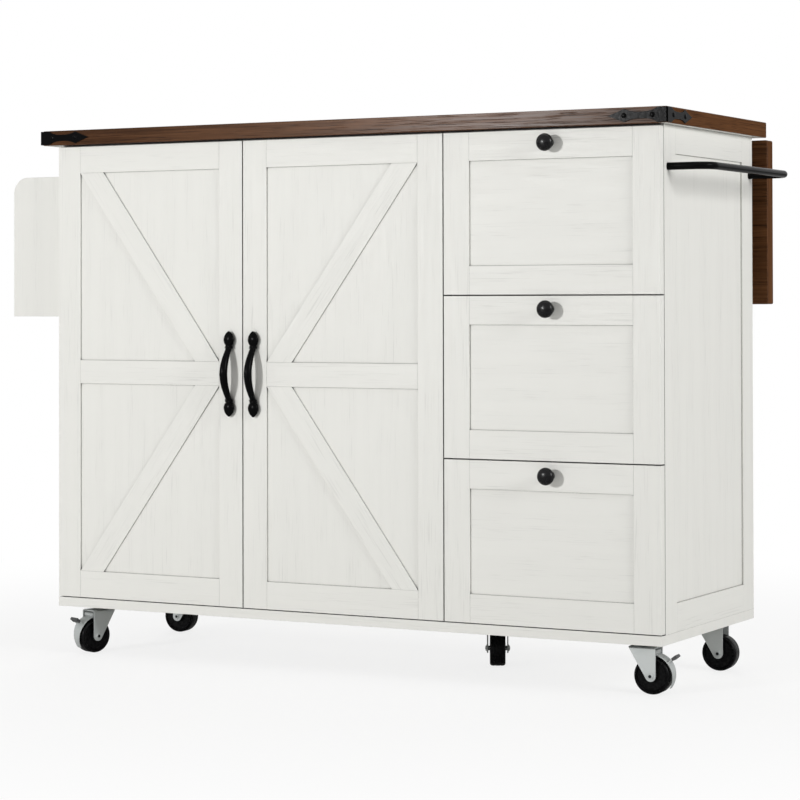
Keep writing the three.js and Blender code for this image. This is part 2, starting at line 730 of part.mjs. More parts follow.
/** A butt hinge: two knuckles and the pin stay with the worktop, the middle one goes with the leaf. */
function buildLeafHinge(name, x) {
  const { y, z } = leafPivot;
  const wingZ = [carcassTop - leafHingeSheet, carcassTop];
  const half = leafHingeLength / 2;
  const inner = leafKnuckleLength / 2;
  const outer = inner + hingePlay;
  const clear = leafHingeDrop + hingePlay;
  const knuckle = (x0, x1) => rod('x', leafKnuckleRadius, x1 - x0, [(x0 + x1) / 2, y, z], 14);
  const fixedWing = join(
    box([x - half, x + half], [y - leafHingeWing, y - clear], wingZ),
    box([x - half, x - outer], [y - clear - bond, y], wingZ),
    box([x + outer, x + half], [y - clear - bond, y], wingZ),
    knuckle(x - half, x - outer),
    knuckle(x + outer, x + half),
    rod('x', leafPinRadius, leafHingeLength, [x, y, z], 10),
  );
  add(`${name}_worktop_hinge_wing`, fixedWing, steel);
  const leafWing = join(
    box([x - half, x + half], [y + clear, y + leafHingeWing], wingZ),
    box([x - inner, x + inner], [y, y + clear + bond], wingZ),
    knuckle(x - inner, x + inner),
  );
  const bore = rod('x', leafPinRadius + leafPinPlay, leafHingeLength, [x, y, z], 10);
  add(`${name}_leaf_hinge_wing`, hang(cut(leafWing, bore)), steel);
}

function buildLeafHinges() {
  const first = worktopLeft + leafHingeInset;
  const last = worktopRight - leafHingeInset;
  const step = (last - first) / (leafHingeNames.length - 1);
  leafHingeNames.forEach((name, i) => buildLeafHinge(name, first + i * step));
}

// ---------------------------------------------------------------- folding stays

// A stay turns on a wall bracket. The roller at its tip lies in a channel under the leaf when the leaf
// is fully up or fully down; in between it swings clear of the channel's open side.
const stayPivot = { y: cabinetDepth + stayPivotBack, z: carcassTop - stayPivotDrop };
const raisedRoller = { z: carcassTop - channelPinDrop };
raisedRoller.y = stayPivot.y + Math.sqrt(stayLength ** 2 - (raisedRoller.z - stayPivot.z) ** 2);
const hangingRoller = { y: leafPivot.y + (raisedRoller.z - leafPivot.z) };
hangingRoller.z = stayPivot.z - Math.sqrt(stayLength ** 2 - (hangingRoller.y - stayPivot.y) ** 2);

/** A flat bar in the YZ plane with round ends about two points, thick from x0 towards +X. */
function flatBar(from, to, radius, x0, thickness) {
  const along = Math.atan2(to.z - from.z, to.y - from.y);
  const outline = new THREE.Shape();
  outline.absarc(from.y, from.z, radius, along + Math.PI / 2, along + 1.5 * Math.PI);
  outline.absarc(to.y, to.z, radius, along - Math.PI / 2, along + Math.PI / 2);
  return extrudeToRight(outline, x0, thickness);
}

/** A plate on the back panel with an ear, and a headed rivet that the stay turns on. */
function stayBracket(barX) {
  const earX = barX - stayWasherGap - staySheet;
  const headX = barX + staySheet + stayWasherGap;
  const root = { y: cabinetDepth + stayEarRadius, z: stayPivot.z };
  const plate = box(
    [earX, earX + stayPlateWidth],
    [cabinetDepth, cabinetDepth + staySheet],
    [stayPivot.z - stayPlateHeight / 2, stayPivot.z + stayPlateHeight / 2],
  );
  const rivetLength = headX + staySheet - earX;
  const at = (x) => [x, stayPivot.y, stayPivot.z];
  const rivet = rod('x', stayRivetRadius, rivetLength, at(earX + rivetLength / 2), 14);
  const head = rod('x', stayRivetHead, staySheet, at(headX + staySheet / 2), 14);
  return join(plate, flatBar(root, stayPivot, stayEarRadius, earX, staySheet), rivet, head);
}

function stayBar(x, barX) {
  const bore = rod('x', stayRivetRadius + stayRivetPlay, 3 * staySheet, [x, stayPivot.y, stayPivot.z], 14);
  const rollerLength = channelWidth - 2 * channelSheet - 2 * stayWasherGap;
  const roller = rod('x', stayRollerRadius, rollerLength, [x, hangingRoller.y, hangingRoller.z], 14);
  return join(cut(flatBar(stayPivot, hangingRoller, stayWidth / 2, barX, staySheet), bore), roller);
}

/** A channel under the leaf, slotted from where the roller is with the leaf up to where it hangs. */
function stayChannel(x) {
  const near = raisedRoller.y;
  const far = leafPivot.y + (leafPivot.z - hangingRoller.z);
  const ends = [near - channelOverrun, far + channelOverrun];
  const low = carcassTop - channelDepth;
  const half = channelWidth / 2;
  const rail = box([x - half, x + half], ends, [low, carcassTop]);
  const trough = box(
    [x - half + channelSheet, x + half - channelSheet],
    [near - 2 * channelOverrun, far + 2 * channelOverrun],
    [low - channelDepth, carcassTop - channelSheet],
  );
  const slotEnds = [near, far].map((y) => ({ y, z: raisedRoller.z }));
  const slot = flatBar(...slotEnds, channelSlotHeight / 2, x - channelWidth, 2 * channelWidth);
  return hang(cut(rail, trough, slot));
}

function buildStays() {
  const places = { left: stayInset, right: cabinetWidth - stayInset };
  for (const [name, x] of Object.entries(places)) {
    const barX = x - staySheet / 2;
    add(`${name}_stay_bracket`, stayBracket(barX), steel);
    add(`${name}_stay`, stayBar(x, barX), steel);
    add(`${name}_stay_channel`, stayChannel(x), steel);
  }
}

// ---------------------------------------------------------------- casters

const wheelCentreHeight = wheelRadius * Math.cos(Math.PI / wheelSides); // it stands on a flat facet
const plateBottom = casterHeight - casterPlateThickness;
const raceBottom = plateBottom - raceHeight;
const crownTop = raceBottom - raceGap;
const crownBottom = crownTop - forkSheet;
const brakePin = { x: casterTrail + brakePinBehind, z: crownBottom - brakePinDrop };

/** A mounting plate with screw heads, the upper race and a headed kingpin, on the swivel axis. */
function casterPlateBody() {
  const [h, c] = [casterPlate / 2, casterPlateCorner];
  const outline = polygon([
    [c - h, -h], [h - c, -h], [h, c - h], [h, h - c], [h - c, h], [c - h, h], [-h, h - c], [-h, c - h],
  ]);
  const plate = extrude(outline, casterPlateThickness, 1).translate(0, 0, plateBottom);
  const headTop = crownBottom - kingpinPlay;
  const spindle = [
    [0, headTop - kingpinHeadHeight], [kingpinHeadRadius, headTop - kingpinHeadHeight],
    [kingpinHeadRadius, headTop], [kingpinRadius, headTop], [kingpinRadius, raceBottom],
    [0.8 * raceRadius, raceBottom], [raceRadius, raceBottom + raceHeight / 2],
    [raceRadius, plateBottom + bond], [0, plateBottom + bond],
  ];
  const race = revolve(spindle, 16).rotateX(Math.PI / 2);
  const screwAt = h - casterScrewInset;
  const screwLength = casterScrewHeight + bond;
  const screwZ = plateBottom - casterScrewHeight + screwLength / 2;
  const corners = [[-1, -1], [1, -1], [1, 1], [-1, 1]];
  const screws = corners.map(([sx, sy]) =>
    rod('z', casterScrewRadius, screwLength, [sx * screwAt, sy * screwAt, screwZ], 8));
  return join(plate, race, ...screws);
}

/** The direction, from a circle's centre, of the point where a line from outside touches it. */
function touchAngle([x, z], [centreX, centreZ], radius, turn) {
  const reach = Math.hypot(x - centreX, z - centreZ);
  return Math.atan2(z - centreZ, x - centreX) + turn * Math.acos(radius / reach);
}

/** A fork whose legs taper down to the axle, with a cross pin if it is braked; +X is behind it. */
function casterFork(braked) {
  const foot = [casterTrail, wheelCentreHeight];
  const [ahead, behind] = [[-forkFront, crownTop], [forkBack, crownTop]];
  const from = touchAngle(ahead, foot, forkFootRadius, 1);
  const to = touchAngle(behind, foot, forkFootRadius, -1) + 2 * Math.PI;
  const leg = new THREE.Shape();
  leg.moveTo(...behind);
  leg.lineTo(...ahead);
  leg.absarc(...foot, forkFootRadius, from, to);
  const half = forkInnerWidth / 2;
  const outer = half + forkSheet;
  const cheeks = [outer, -half].map((y) => extrudeToFront(leg, y, forkSheet, 3));
  const crown = box([-forkFront, forkBack], [-outer, outer], [crownBottom, crownTop]);
  const bore = rod('z', kingpinRadius + kingpinPlay, 4 * forkSheet, [0, 0, crownBottom], 16);
  const at = (y) => [casterTrail, y, wheelCentreHeight];
  const axle = rod('y', axleRadius, 2 * outer, at(0), 14);
  const headAt = outer + (axleHeadHeight - bond) / 2;
  const heads = [headAt, -headAt].map((y) => rod('y', axleHeadRadius, axleHeadHeight + bond, at(y), 6));
  const pinLength = forkInnerWidth + 2 * bond;
  const pin = braked ? [rod('y', brakePinRadius, pinLength, [brakePin.x, 0, brakePin.z], 14)] : [];
  return join(cut(crown, bore), ...cheeks, axle, ...heads, ...pin);
}

/** A wheel with a dished web between hub and rim and a running bore, its axle along Y. */
function casterWheel() {
  const [r, w] = [wheelRadius, wheelWidth / 2];
  const bore = axleRadius + axlePlay;
  const half = [
    [bore, w], [wheelHubRadius, w], [wheelHubRadius, w - wheelDish], [r - wheelRim, w - wheelDish],
    [r - wheelEdge, w], [r, w - wheelEdge],
  ];
  const lower = half.map(([radius, height]) => [radius, -height]);
  return revolve([...lower, ...half.toReversed(), lower[0]], wheelSides).rotateY(Math.PI / wheelSides);
}

/** A brake lever on a cross pin: an eye, a band that hugs the tread behind, and a tab with a grip. */
function brakeLever() {
  const inner = wheelRadius + brakeTreadGap;
  const outer = inner + brakeSheet;
  const half = brakeBandWidth / 2;
  const [low, tabAngle] = [brakeTailAngle, brakeTabAngle].map(THREE.MathUtils.degToRad);
  const pinRise = brakePin.z - wheelCentreHeight;
  const high = Math.atan2(pinRise, brakePinBehind);
  const outline = new THREE.Shape();
  outline.absarc(0, 0, outer, low, high, false);
  outline.absarc(0, 0, inner, high, low, true);
  const band = extrudeToFront(outline, half, brakeBandWidth, 12);
  const eye = rod('y', brakeEyeRadius, brakeBandWidth, [brakePinBehind, 0, pinRise], 14);
  const boreRadius = brakePinRadius + brakePinPlay;
  const bore = rod('y', boreRadius, 2 * brakeBandWidth, [brakePinBehind, 0, pinRise], 14);
  const tailEnd = outer * Math.sin(low);
  const besideTail = [1, -1].map((side) => extrudeToRight(polygon([
    [side * (half + bond), brakeTaperStart], [side * half, brakeTaperStart],
    [(side * brakeTailWidth) / 2, tailEnd], [(side * brakeTailWidth) / 2, tailEnd - bond],
    [side * (half + bond), tailEnd - bond],
  ]), 0, 2 * outer));
  const tabEnd = outer + brakeTabLength;
  const across = [-brakeTabWidth / 2, brakeTabWidth / 2];
  const tab = box([outer - brakeSheet / 2, tabEnd + bond], across, [-brakeSheet, 0]);
  const grip = box([tabEnd, tabEnd + brakeGripLength], across,
    [-(brakeSheet + brakeGripThickness) / 2, (brakeGripThickness - brakeSheet) / 2]);
  const body = cut(join(band, eye), bore, ...besideTail);
  return join(body, join(tab, grip).rotateY(-tabAngle)).translate(casterTrail, 0, wheelCentreHeight);
}

function buildCasters() {
  const [left, right] = [casterSideInset, cabinetWidth - casterSideInset];
  const [front, back] = [frontFace + casterFrontInset, cabinetDepth - casterBackInset];
  const places = {
    front_left: [left, front],
    front_right: [right, front],
    rear_right: [right, back],
    rear_left: [left, back],
    centre: [doorBayWidth, (front + back) / 2],
  };
  for (const [name, [x, y]] of Object.entries(places)) {
    add(`${name}_caster_plate`, casterPlateBody().translate(x, y, 0), zinc);
    const caster = new THREE.Group();
    caster.position.set(x, y, 0);
    caster.rotation.z = THREE.MathUtils.degToRad(casterHeadings[name]);
    island.add(caster);
    const braked = brakedCasters.includes(name);
    add(`${name}_fork`, casterFork(braked), zinc, caster);
    add(`${name}_wheel`, casterWheel().translate(casterTrail, 0, wheelCentreHeight), blackWheel, caster);
    if (braked) add(`${name}_brake_pedal`, brakeLever(), zinc, caster);
  }
}

// ---------------------------------------------------------------- assembly

buildCarcass();
buildWorktop();
buildCornerStraps();
buildDoor('left', leftCupX);
buildDoor('right', rightCupX);
drawerNames.forEach((name, i) => buildDrawer(name, drawerTops[i], runnerHeights[i]));
buildTowelBar();
buildSpiceRack();
buildLeaf();
buildLeafHinges();
buildStays();
buildCasters();

const extent = new THREE.Box3().setFromObject(island);
const middle = extent.getCenter(new THREE.Vector3());
island.position.set(-middle.x, -middle.y, 0);

export default island;
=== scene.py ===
import math

import bmesh
import bpy
from mathutils import Matrix, Vector

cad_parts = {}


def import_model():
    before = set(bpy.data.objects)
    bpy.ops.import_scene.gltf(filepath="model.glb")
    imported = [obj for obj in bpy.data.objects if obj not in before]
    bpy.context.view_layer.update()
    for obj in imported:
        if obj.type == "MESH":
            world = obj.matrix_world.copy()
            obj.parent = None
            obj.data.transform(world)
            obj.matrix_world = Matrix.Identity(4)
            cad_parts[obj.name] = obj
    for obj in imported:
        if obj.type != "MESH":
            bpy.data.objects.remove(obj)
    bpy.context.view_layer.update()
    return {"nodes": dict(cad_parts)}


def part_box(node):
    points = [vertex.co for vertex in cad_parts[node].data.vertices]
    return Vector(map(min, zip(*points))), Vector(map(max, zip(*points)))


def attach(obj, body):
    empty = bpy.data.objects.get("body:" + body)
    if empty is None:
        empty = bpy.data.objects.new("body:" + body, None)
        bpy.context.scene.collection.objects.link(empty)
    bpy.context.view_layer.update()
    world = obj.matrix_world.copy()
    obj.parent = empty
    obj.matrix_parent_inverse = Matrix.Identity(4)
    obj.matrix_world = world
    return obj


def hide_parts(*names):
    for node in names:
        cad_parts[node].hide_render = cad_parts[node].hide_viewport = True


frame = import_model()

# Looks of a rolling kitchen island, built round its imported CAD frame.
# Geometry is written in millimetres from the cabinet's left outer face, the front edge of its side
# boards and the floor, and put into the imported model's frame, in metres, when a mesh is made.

MM = 0.001
CORNER = Vector((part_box("base_board")[0].x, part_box("front_stretcher")[0].y, 0))


def cad_span(node):
    """The lowest and highest corner of a CAD node, in this script's millimetres."""
    low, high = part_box(node)
    return (low - CORNER) / MM, (high - CORNER) / MM


# ---------------------------------------------------------------- sizes, in millimetres

BOARD = 16
FRONT = 15
RECESS = 3
FRAME_WIDTH = 46.5
MID_RAIL = 41
BRACE_CUT = 49
SIDE_STILE = 47
SIDE_RAIL = 45
EDGE = 0.45  # softened edges of painted boards
SHARP = 35  # degrees from which an edge is softened, or left sharp in the shading

WHITE = (0.80, 0.795, 0.755)
BROWN_DARK = (0.030, 0.011, 0.0035)
BROWN_LIGHT = (0.136, 0.057, 0.022)
BROWN_FLECK = (0.016, 0.006, 0.003)
BROWN_WORN = (0.19, 0.10, 0.062)
# The band of the worktop's underside ahead of the fronts, kept brown as painted shade, in metres from CORNER
SHADE_STRIP_CENTRE, SHADE_STRIP_HALF, SHADE_STRIP_BACK = 0.581, 0.569, 0.002
AXES = {"x": Vector((1, 0, 0)), "y": Vector((0, 1, 0)), "z": Vector((0, 0, 1))}


# ---------------------------------------------------------------- material helpers

# Sockets of a Mix node by number, because its names repeat: A, B and the result
MIX_FACTOR = 0
MIX_VECTOR = (4, 5, 1)
MIX_COLOUR = (6, 7, 2)


def toned(share, colour):
    return tuple(share * c for c in colour)


class Nodes:
    """A material's node tree, with short ways to add and join nodes."""

    def __init__(self, name):
        self.material = bpy.data.materials.new(name)
        self.material.use_nodes = True
        self.tree = self.material.node_tree
        self.shader = self.tree.nodes["Principled BSDF"]

    def add(self, kind, inputs=(), **settings):
        node = self.tree.nodes.new(kind)
        for key, value in settings.items():
            setattr(node, key, value)
        for key, value in dict(inputs).items():
            if isinstance(value, bpy.types.NodeSocket):
                self.tree.links.new(value, node.inputs[key])
            else:
                node.inputs[key].default_value = value
        return node

    def set(self, **values):
        for key, value in values.items():
            self.shader.inputs[" ".join(w[0].upper() + w[1:] for w in key.split("_"))].default_value = value

    def link(self, socket, target):
        self.tree.links.new(socket, self.shader.inputs[target])

    def where(self):
        """Object coordinates in metres."""
        return self.add("ShaderNodeTexCoord").outputs["Object"]

    def noise(self, scale, detail):
        node = self.add("ShaderNodeTexNoise", {"Vector": self.where(), "Scale": scale, "Detail": detail})
        return node.outputs["Fac"]

    def grain_space(self, along):
        """Object coordinates, turned so that the grain runs along X."""
        turn = AXES["x"].rotation_difference(along).inverted().to_euler()
        return self.add("ShaderNodeMapping", {"Vector": self.where(), "Rotation": turn}).outputs["Vector"]

    def streaks(self, space, along, across, detail=4.0, rough=0.55, shift=0.0):
        scaled = self.add("ShaderNodeMapping", {
            "Vector": space, "Scale": (along, across, across), "Location": (shift, shift, shift)})
        noise = self.add("ShaderNodeTexNoise", {
            "Vector": scaled.outputs["Vector"], "Scale": 1.0, "Detail": detail, "Roughness": rough})
        return noise.outputs["Fac"]

    def spread(self, value, low, high, to_low=0.0, to_high=1.0):
        node = self.add("ShaderNodeMapRange", {
            "Value": value, "From Min": low, "From Max": high, "To Min": to_low, "To Max": to_high})
        return node.outputs["Result"]

    def mix(self, share, first, second):
        a, b, result = MIX_COLOUR
        colours = [v if isinstance(v, bpy.types.NodeSocket) else (*v, 1) for v in (first, second)]
        node = self.add("ShaderNodeMix", {MIX_FACTOR: share, a: colours[0], b: colours[1]}, data_type="RGBA")
        return node.outputs[result]

    def blended(self, share, first, second):
        a, b, result = MIX_VECTOR
        node = self.add("ShaderNodeMix", {MIX_FACTOR: share, a: first, b: second}, data_type="VECTOR")
        return node.outputs[result]

    def math(self, operation, first, second):
        node = self.add("ShaderNodeMath", {0: first, 1: second}, operation=operation)
        return node.outputs["Value"]

    def bump(self, height, strength, distance):
        node = self.add("ShaderNodeBump", {"Height": height, "Strength": strength, "Distance": distance})
        self.link(node.outputs["Normal"], "Normal")

    def corners(self, reach):
        """1 deep in gaps and corners, where it darkens a colour as painted shade, and 0 on open faces."""
        open_sky = self.add("ShaderNodeAmbientOcclusion", {"Distance": reach}, samples=6).outputs["AO"]
        return self.spread(open_sky, 0.72, 0.18)

    def edges(self, radius):
        """1 along edges and 0 on flat faces: how far a rounded normal turns from the real one."""
        rounded = self.add("ShaderNodeBevel", {"Radius": radius}, samples=4).outputs["Normal"]
        flat = self.add("ShaderNodeNewGeometry").outputs["Normal"]
        dot = self.add("ShaderNodeVectorMath", {0: rounded, 1: flat}, operation="DOT_PRODUCT")
        return self.spread(dot.outputs["Value"], 0.995, 0.85)


# ---------------------------------------------------------------- materials

def white_grain(name, along):
    """White paint over an embossed grain: fine grooves, faint grey streaks, edges rubbed a little, and
    painted shade darkening gaps and corners.
    """
    n = Nodes(name)
    space = n.grain_space(along)
    broad = n.spread(n.streaks(space, 2.6, 46), 0.42, 0.74)
    fine = n.streaks(space, 9, 420, detail=3)
    pores = n.spread(n.streaks(space, 14, 560, detail=2, shift=3.1), 0.58, 0.70)
    faint = n.mix(broad, WHITE, toned(0.975, WHITE))
    lined = n.mix(n.math("MULTIPLY", pores, broad), faint, toned(0.80, WHITE))
    worn = n.mix(n.math("MULTIPLY", n.edges(0.0009), 0.45), lined, toned(0.93, WHITE))
    # Painted shade: the colour darkens to 0.09 of white deep in gaps, seams and recess corners.
    n.link(n.mix(n.corners(0.007), worn, toned(0.09, WHITE)), "Base Color")
    n.link(n.spread(fine, 0.3, 0.7, 0.42, 0.58), "Roughness")
    n.bump(n.math("SUBTRACT", n.math("MULTIPLY", fine, 0.5), pores), 0.22, 0.00035)
    return n.material


def brown_grain(name, along, along_ends, under=None):
    """Dark brown wood print with long flecks, matt on its ends; under is the direction that is white, save a
    band ahead of the fronts kept brown as painted shade.
    """
    n = Nodes(name)
    normal = n.add("ShaderNodeTexCoord").outputs["Normal"]
    sideways = n.math("ABSOLUTE", n.add("ShaderNodeSeparateXYZ", {"Vector": normal}).outputs["X"], 0.0)
    ends = n.spread(sideways, 0.6, 0.9)
    space = n.blended(ends, n.grain_space(along), n.grain_space(along_ends))
    broad = n.spread(n.streaks(space, 1.3, 26, detail=5), 0.32, 0.68)
    fine = n.streaks(space, 6, 300, detail=5, rough=0.65)
    pores = n.spread(n.streaks(space, 13, 700, detail=2, shift=1.7), 0.57, 0.69)
    light = n.math("MULTIPLY", n.math("ADD", broad, n.spread(fine, 0.3, 0.7)), 0.62)
    tone = n.mix(light, BROWN_DARK, BROWN_LIGHT)
    flecked = n.mix(n.math("MULTIPLY", pores, 0.85), tone, BROWN_FLECK)
    worn = n.mix(n.math("MULTIPLY", n.edges(0.0012), 0.4), flecked, BROWN_WORN)
    if under is None:
        n.link(worn, "Base Color")
    else:
        dot = n.add("ShaderNodeVectorMath", {0: normal, 1: under}, operation="DOT_PRODUCT")
        where = n.add("ShaderNodeNewGeometry").outputs["Position"]
        at = n.add("ShaderNodeSeparateXYZ", {"Vector": where}).outputs
        # Painted shade: ahead of the fronts the underside keeps the dark brown instead of white.
        span = {0: at["X"], 1: CORNER.x + SHADE_STRIP_CENTRE, 2: SHADE_STRIP_HALF}
        wide = n.add("ShaderNodeMath", span, operation="COMPARE").outputs["Value"]
        painted_shade_strip = n.math("MULTIPLY", wide, n.math("LESS_THAN", at["Y"], CORNER.y + SHADE_STRIP_BACK))
        below = n.math("SUBTRACT", n.spread(dot.outputs["Value"], 0.9, 0.95), painted_shade_strip)
        n.link(n.mix(n.math("MAXIMUM", below, 0.0), worn, toned(0.9, WHITE)), "Base Color")
    n.set(specular_IOR_level=0.075)
    n.link(n.math("ADD", n.spread(fine, 0.3, 0.7, 0.22, 0.29), n.math("MULTIPLY", ends, 0.65)), "Roughness")
    n.bump(n.math("SUBTRACT", n.math("MULTIPLY", fine, 0.4), pores), 0.2, 0.0003)
    return n.material


def drawer_board():
    """Pale laminated board with a slight print of grain."""
    n = Nodes("drawer_board")
    space = n.grain_space(AXES["y"])
    tone = n.spread(n.streaks(space, 3, 90), 0.35, 0.7)
    n.link(n.mix(tone, (0.66, 0.65, 0.60), (0.58, 0.565, 0.515)), "Base Color")
    n.link(n.spread(tone, 0, 1, 0.5, 0.62), "Roughness")
    n.bump(n.streaks(space, 9, 500, detail=2), 0.1, 0.0002)
    return n.material


def black_iron():
    """Black powder coat: a fine pebbled surface, a little lighter where edges are rubbed."""
    n = Nodes("black_iron")
    pebble, dents = n.noise(1500.0, 2.0), n.noise(170.0, 2.0)
    n.link(n.mix(n.edges(0.0008), (0.0028, 0.0028, 0.003), (0.011, 0.0108, 0.0105)), "Base Color")
    n.set(specular_IOR_level=0.034)
    n.link(n.spread(dents, 0.3, 0.7, 0.16, 0.24), "Roughness")
    n.bump(n.math("ADD", n.math("MULTIPLY", pebble, 0.3), dents), 0.3, 0.0004)
    return n.material


def black_gloss():
    """Black lacquer with a faint orange peel."""
    n = Nodes("black_gloss")
    peel = n.noise(420.0, 1.0)
    n.link(n.mix(n.edges(0.0006), (0.003, 0.003, 0.0035), (0.012, 0.012, 0.013)), "Base Color")
    n.set(specular_IOR_level=0.2)
    n.link(n.spread(peel, 0.3, 0.7, 0.2, 0.3), "Roughness")
    n.bump(peel, 0.08, 0.0002)
    return n.material


def plated(name, tone, rough, cloud, metal=1.0):
    """Plated sheet metal: cloudy patches, fine drawing lines, brighter rubbed edges."""
    n = Nodes(name)
    patches = n.noise(cloud, 4.0)
    lines = n.streaks(n.grain_space(AXES["z"]), 40, 1500, detail=2)
    patchy = n.mix(n.spread(patches, 0.35, 0.65), toned(0.93, tone), tone)
    rubbed = n.math("MULTIPLY", n.edges(0.0006), 0.5)
    n.link(n.mix(rubbed, patchy, toned(1.3, tone)), "Base Color")
    n.set(metallic=metal)
    n.link(n.spread(patches, 0.3, 0.7, rough, rough + 0.14), "Roughness")
    n.bump(lines, 0.06, 0.0002)
    return n.material


def black_wheel():
    """Moulded black wheel: satin, with a slight dullness where it rolls."""
    n = Nodes("black_wheel")
    scuffs = n.noise(260.0, 5.0)
    n.link(n.mix(n.spread(scuffs, 0.5, 0.8), (0.003, 0.003, 0.0033), (0.010, 0.010, 0.011)), "Base Color")
    n.set(specular_IOR_level=0.07)
    n.link(n.spread(scuffs, 0.3, 0.75, 0.22, 0.42), "Roughness")
    n.bump(scuffs, 0.06, 0.0002)
    return n.material


def grip_plastic():
    """The dark grey grip of a brake lever."""
    n = Nodes("grip")
    dents = n.noise(900.0, 2.0)
    n.link(n.mix(dents, (0.026, 0.027, 0.028), (0.045, 0.046, 0.047)), "Base Color")
    n.link(n.spread(dents, 0.3, 0.7, 0.45, 0.6), "Roughness")
    n.bump(dents, 0.2, 0.0003)
    return n.material


MATERIALS = {
    "white_x": white_grain("white_x", AXES["x"]),
    "white_y": white_grain("white_y", AXES["y"]),
    "white_z": white_grain("white_z", AXES["z"]),
    "brown_top": brown_grain("brown_top", AXES["x"], AXES["y"], under=(0, 0, -1)),
    "brown_leaf": brown_grain("brown_leaf", AXES["x"], AXES["z"]),
    "drawer_board": drawer_board(),
    "black_iron": black_iron(),
    "black_gloss": black_gloss(),
    "zinc": plated("zinc", (0.48, 0.50, 0.495), 0.54, 60.0, metal=0.6),
    # A near-black plated tone for the caster plates and axle ends; on the plates it is painted shade and dark
    # reflection along their edges under the base board.
    "dark_edge": plated("dark_edge", (0.022, 0.024, 0.025), 0.4, 120.0),
    "steel": plated("steel", (0.50, 0.51, 0.52), 0.32, 90.0),
    "black_wheel": black_wheel(),
    "grip": grip_plastic(),
}


# ---------------------------------------------------------------- mesh helpers

def prism(outline, axis, low, high):
    """A flat outline of [u, v] points given depth along x (u, v = y, z), y (x, z) or z (x, y)."""
    place = {"x": lambda u, v, w: (w, u, v), "y": lambda u, v, w: (u, w, v), "z": lambda u, v, w: (u, v, w)}
    count = len(outline)
    points = [place[axis](u, v, w) for w in (low, high) for u, v in outline]
    around = [(i, (i + 1) % count, count + (i + 1) % count, count + i) for i in range(count)]
    return points, [tuple(range(count)), tuple(range(2 * count - 1, count - 1, -1)), *around]


def slab(x, y, z):
    """A board between two corners, as a prism."""
    return prism([(x[0], z[0]), (x[1], z[0]), (x[1], z[1]), (x[0], z[1])], "y", *y)


def rotation(degrees, axis):
    return Matrix.Rotation(math.radians(degrees), 4, axis)


def moved(part, matrix):
    points, faces = part
    return [tuple(matrix @ Vector(p)) for p in points], faces


def all_moved(parts, matrix):
    """Parts with their materials, moved together."""
    return [(moved(part, matrix), material) for part, material in parts]


def arc(centre, radius, first, last, steps):
    """Points on a circle between two directions in degrees, both included."""
    turns = (math.radians(first + (last - first) * i / steps) for i in range(steps + 1))
    return [(centre[0] + radius * math.cos(t), centre[1] + radius * math.sin(t)) for t in turns]


def scaled(shares, radius, height):
    """A profile written as shares of a radius and a height."""
    return [(radius * out, height * up) for out, up in shares]


def lathe(profile, sides):
    """A profile of [radius, height] points turned round Z; points on the axis close it."""
    points, rings = [], []
    for radius, height in profile:
        if radius < 1e-6:
            rings.append([len(points)])
            points.append((0, 0, height))
            continue
        rings.append(list(range(len(points), len(points) + sides)))
        turns = (2 * math.pi * k / sides for k in range(sides))
        points += [(radius * math.cos(t), radius * math.sin(t), height) for t in turns]
    faces = []
    pairs = zip(rings, rings[1:]) if len(rings[0]) == 1 else zip(rings, rings[1:] + rings[:1])
    for lower, upper in pairs:
        for k in range(sides):
            a, b = lower[k % len(lower)], lower[(k + 1) % len(lower)]
            c, d = upper[(k + 1) % len(upper)], upper[k % len(upper)]
            face = tuple(dict.fromkeys((a, b, c, d)))
            if len(face) > 2:
                faces.append(face)
    return points, faces


def tube(centres, radii, normal, sides):
    """A round bar of changing radius along a flat path; normal is square to the path's plane."""
    last = len(centres) - 1
    points = []
    for i, centre in enumerate(centres):
        along = (centres[min(i + 1, last)] - centres[max(i - 1, 0)]).normalized()
        side = along.cross(normal)
        for k in range(sides):
            turn = 2 * math.pi * k / sides
            points.append(tuple(centre + radii[i] * (math.cos(turn) * normal + math.sin(turn) * side)))
    faces = [
        (i * sides + k, i * sides + (k + 1) % sides, (i + 1) * sides + (k + 1) % sides, (i + 1) * sides + k)
        for i in range(last) for k in range(sides)
    ]
    return points, [tuple(range(sides)), tuple(range(last * sides, (last + 1) * sides)), *faces]


def piece(name, parts, body, replaces=None, edge=EDGE, smooth_angle=SHARP):
    """One object of several closed parts, each (part, material name), riding on a body."""
    mesh = bpy.data.meshes.new(name)
    bm = bmesh.new()
    names = list(dict.fromkeys(material for _, material in parts))
    for (points, faces), material in parts:
        corners = [bm.verts.new(Vector(p) * MM + CORNER) for p in points]
        for face in faces:
            bm.faces.new([corners[i] for i in face]).material_index = names.index(material)
    bmesh.ops.recalc_face_normals(bm, faces=bm.faces)
    bm.to_mesh(mesh)
    bm.free()
    for material in names:
        mesh.materials.append(MATERIALS[material])
    mesh.shade_smooth()
    mesh.set_sharp_from_angle(angle=math.radians(smooth_angle))
    obj = bpy.data.objects.new(name, mesh)
    bpy.context.scene.collection.objects.link(obj)
    soften(obj, edge)
    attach(obj, body)
    if replaces:
        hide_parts(replaces)


def soften(obj, width):
    """Rounds the sharp edges of a piece by a small bevel."""
    if not width:
        return
    bevel = obj.modifiers.new("edges", "BEVEL")
    bevel.width = width * MM
    bevel.segments = 2
    bevel.limit_method = "ANGLE"
    bevel.angle_limit = math.radians(SHARP)
    bevel.harden_normals = True


def dress(node, material):
    """Keeps a CAD node, with a better material."""
    obj = frame["nodes"][node]
    obj.data.materials.clear()
    obj.data.materials.append(MATERIALS[material])
    obj.data.shade_smooth()
    obj.data.set_sharp_from_angle(angle=math.radians(SHARP))


def plain_board(node, material):
    """A board with softened edges where a CAD node is a plain block."""
    low, high = cad_span(node)
    board = slab((low.x, high.x), (low.y, high.y), (low.z, high.z))
    piece(node + "_board", [(board, material)], "cabinet", replaces=node)


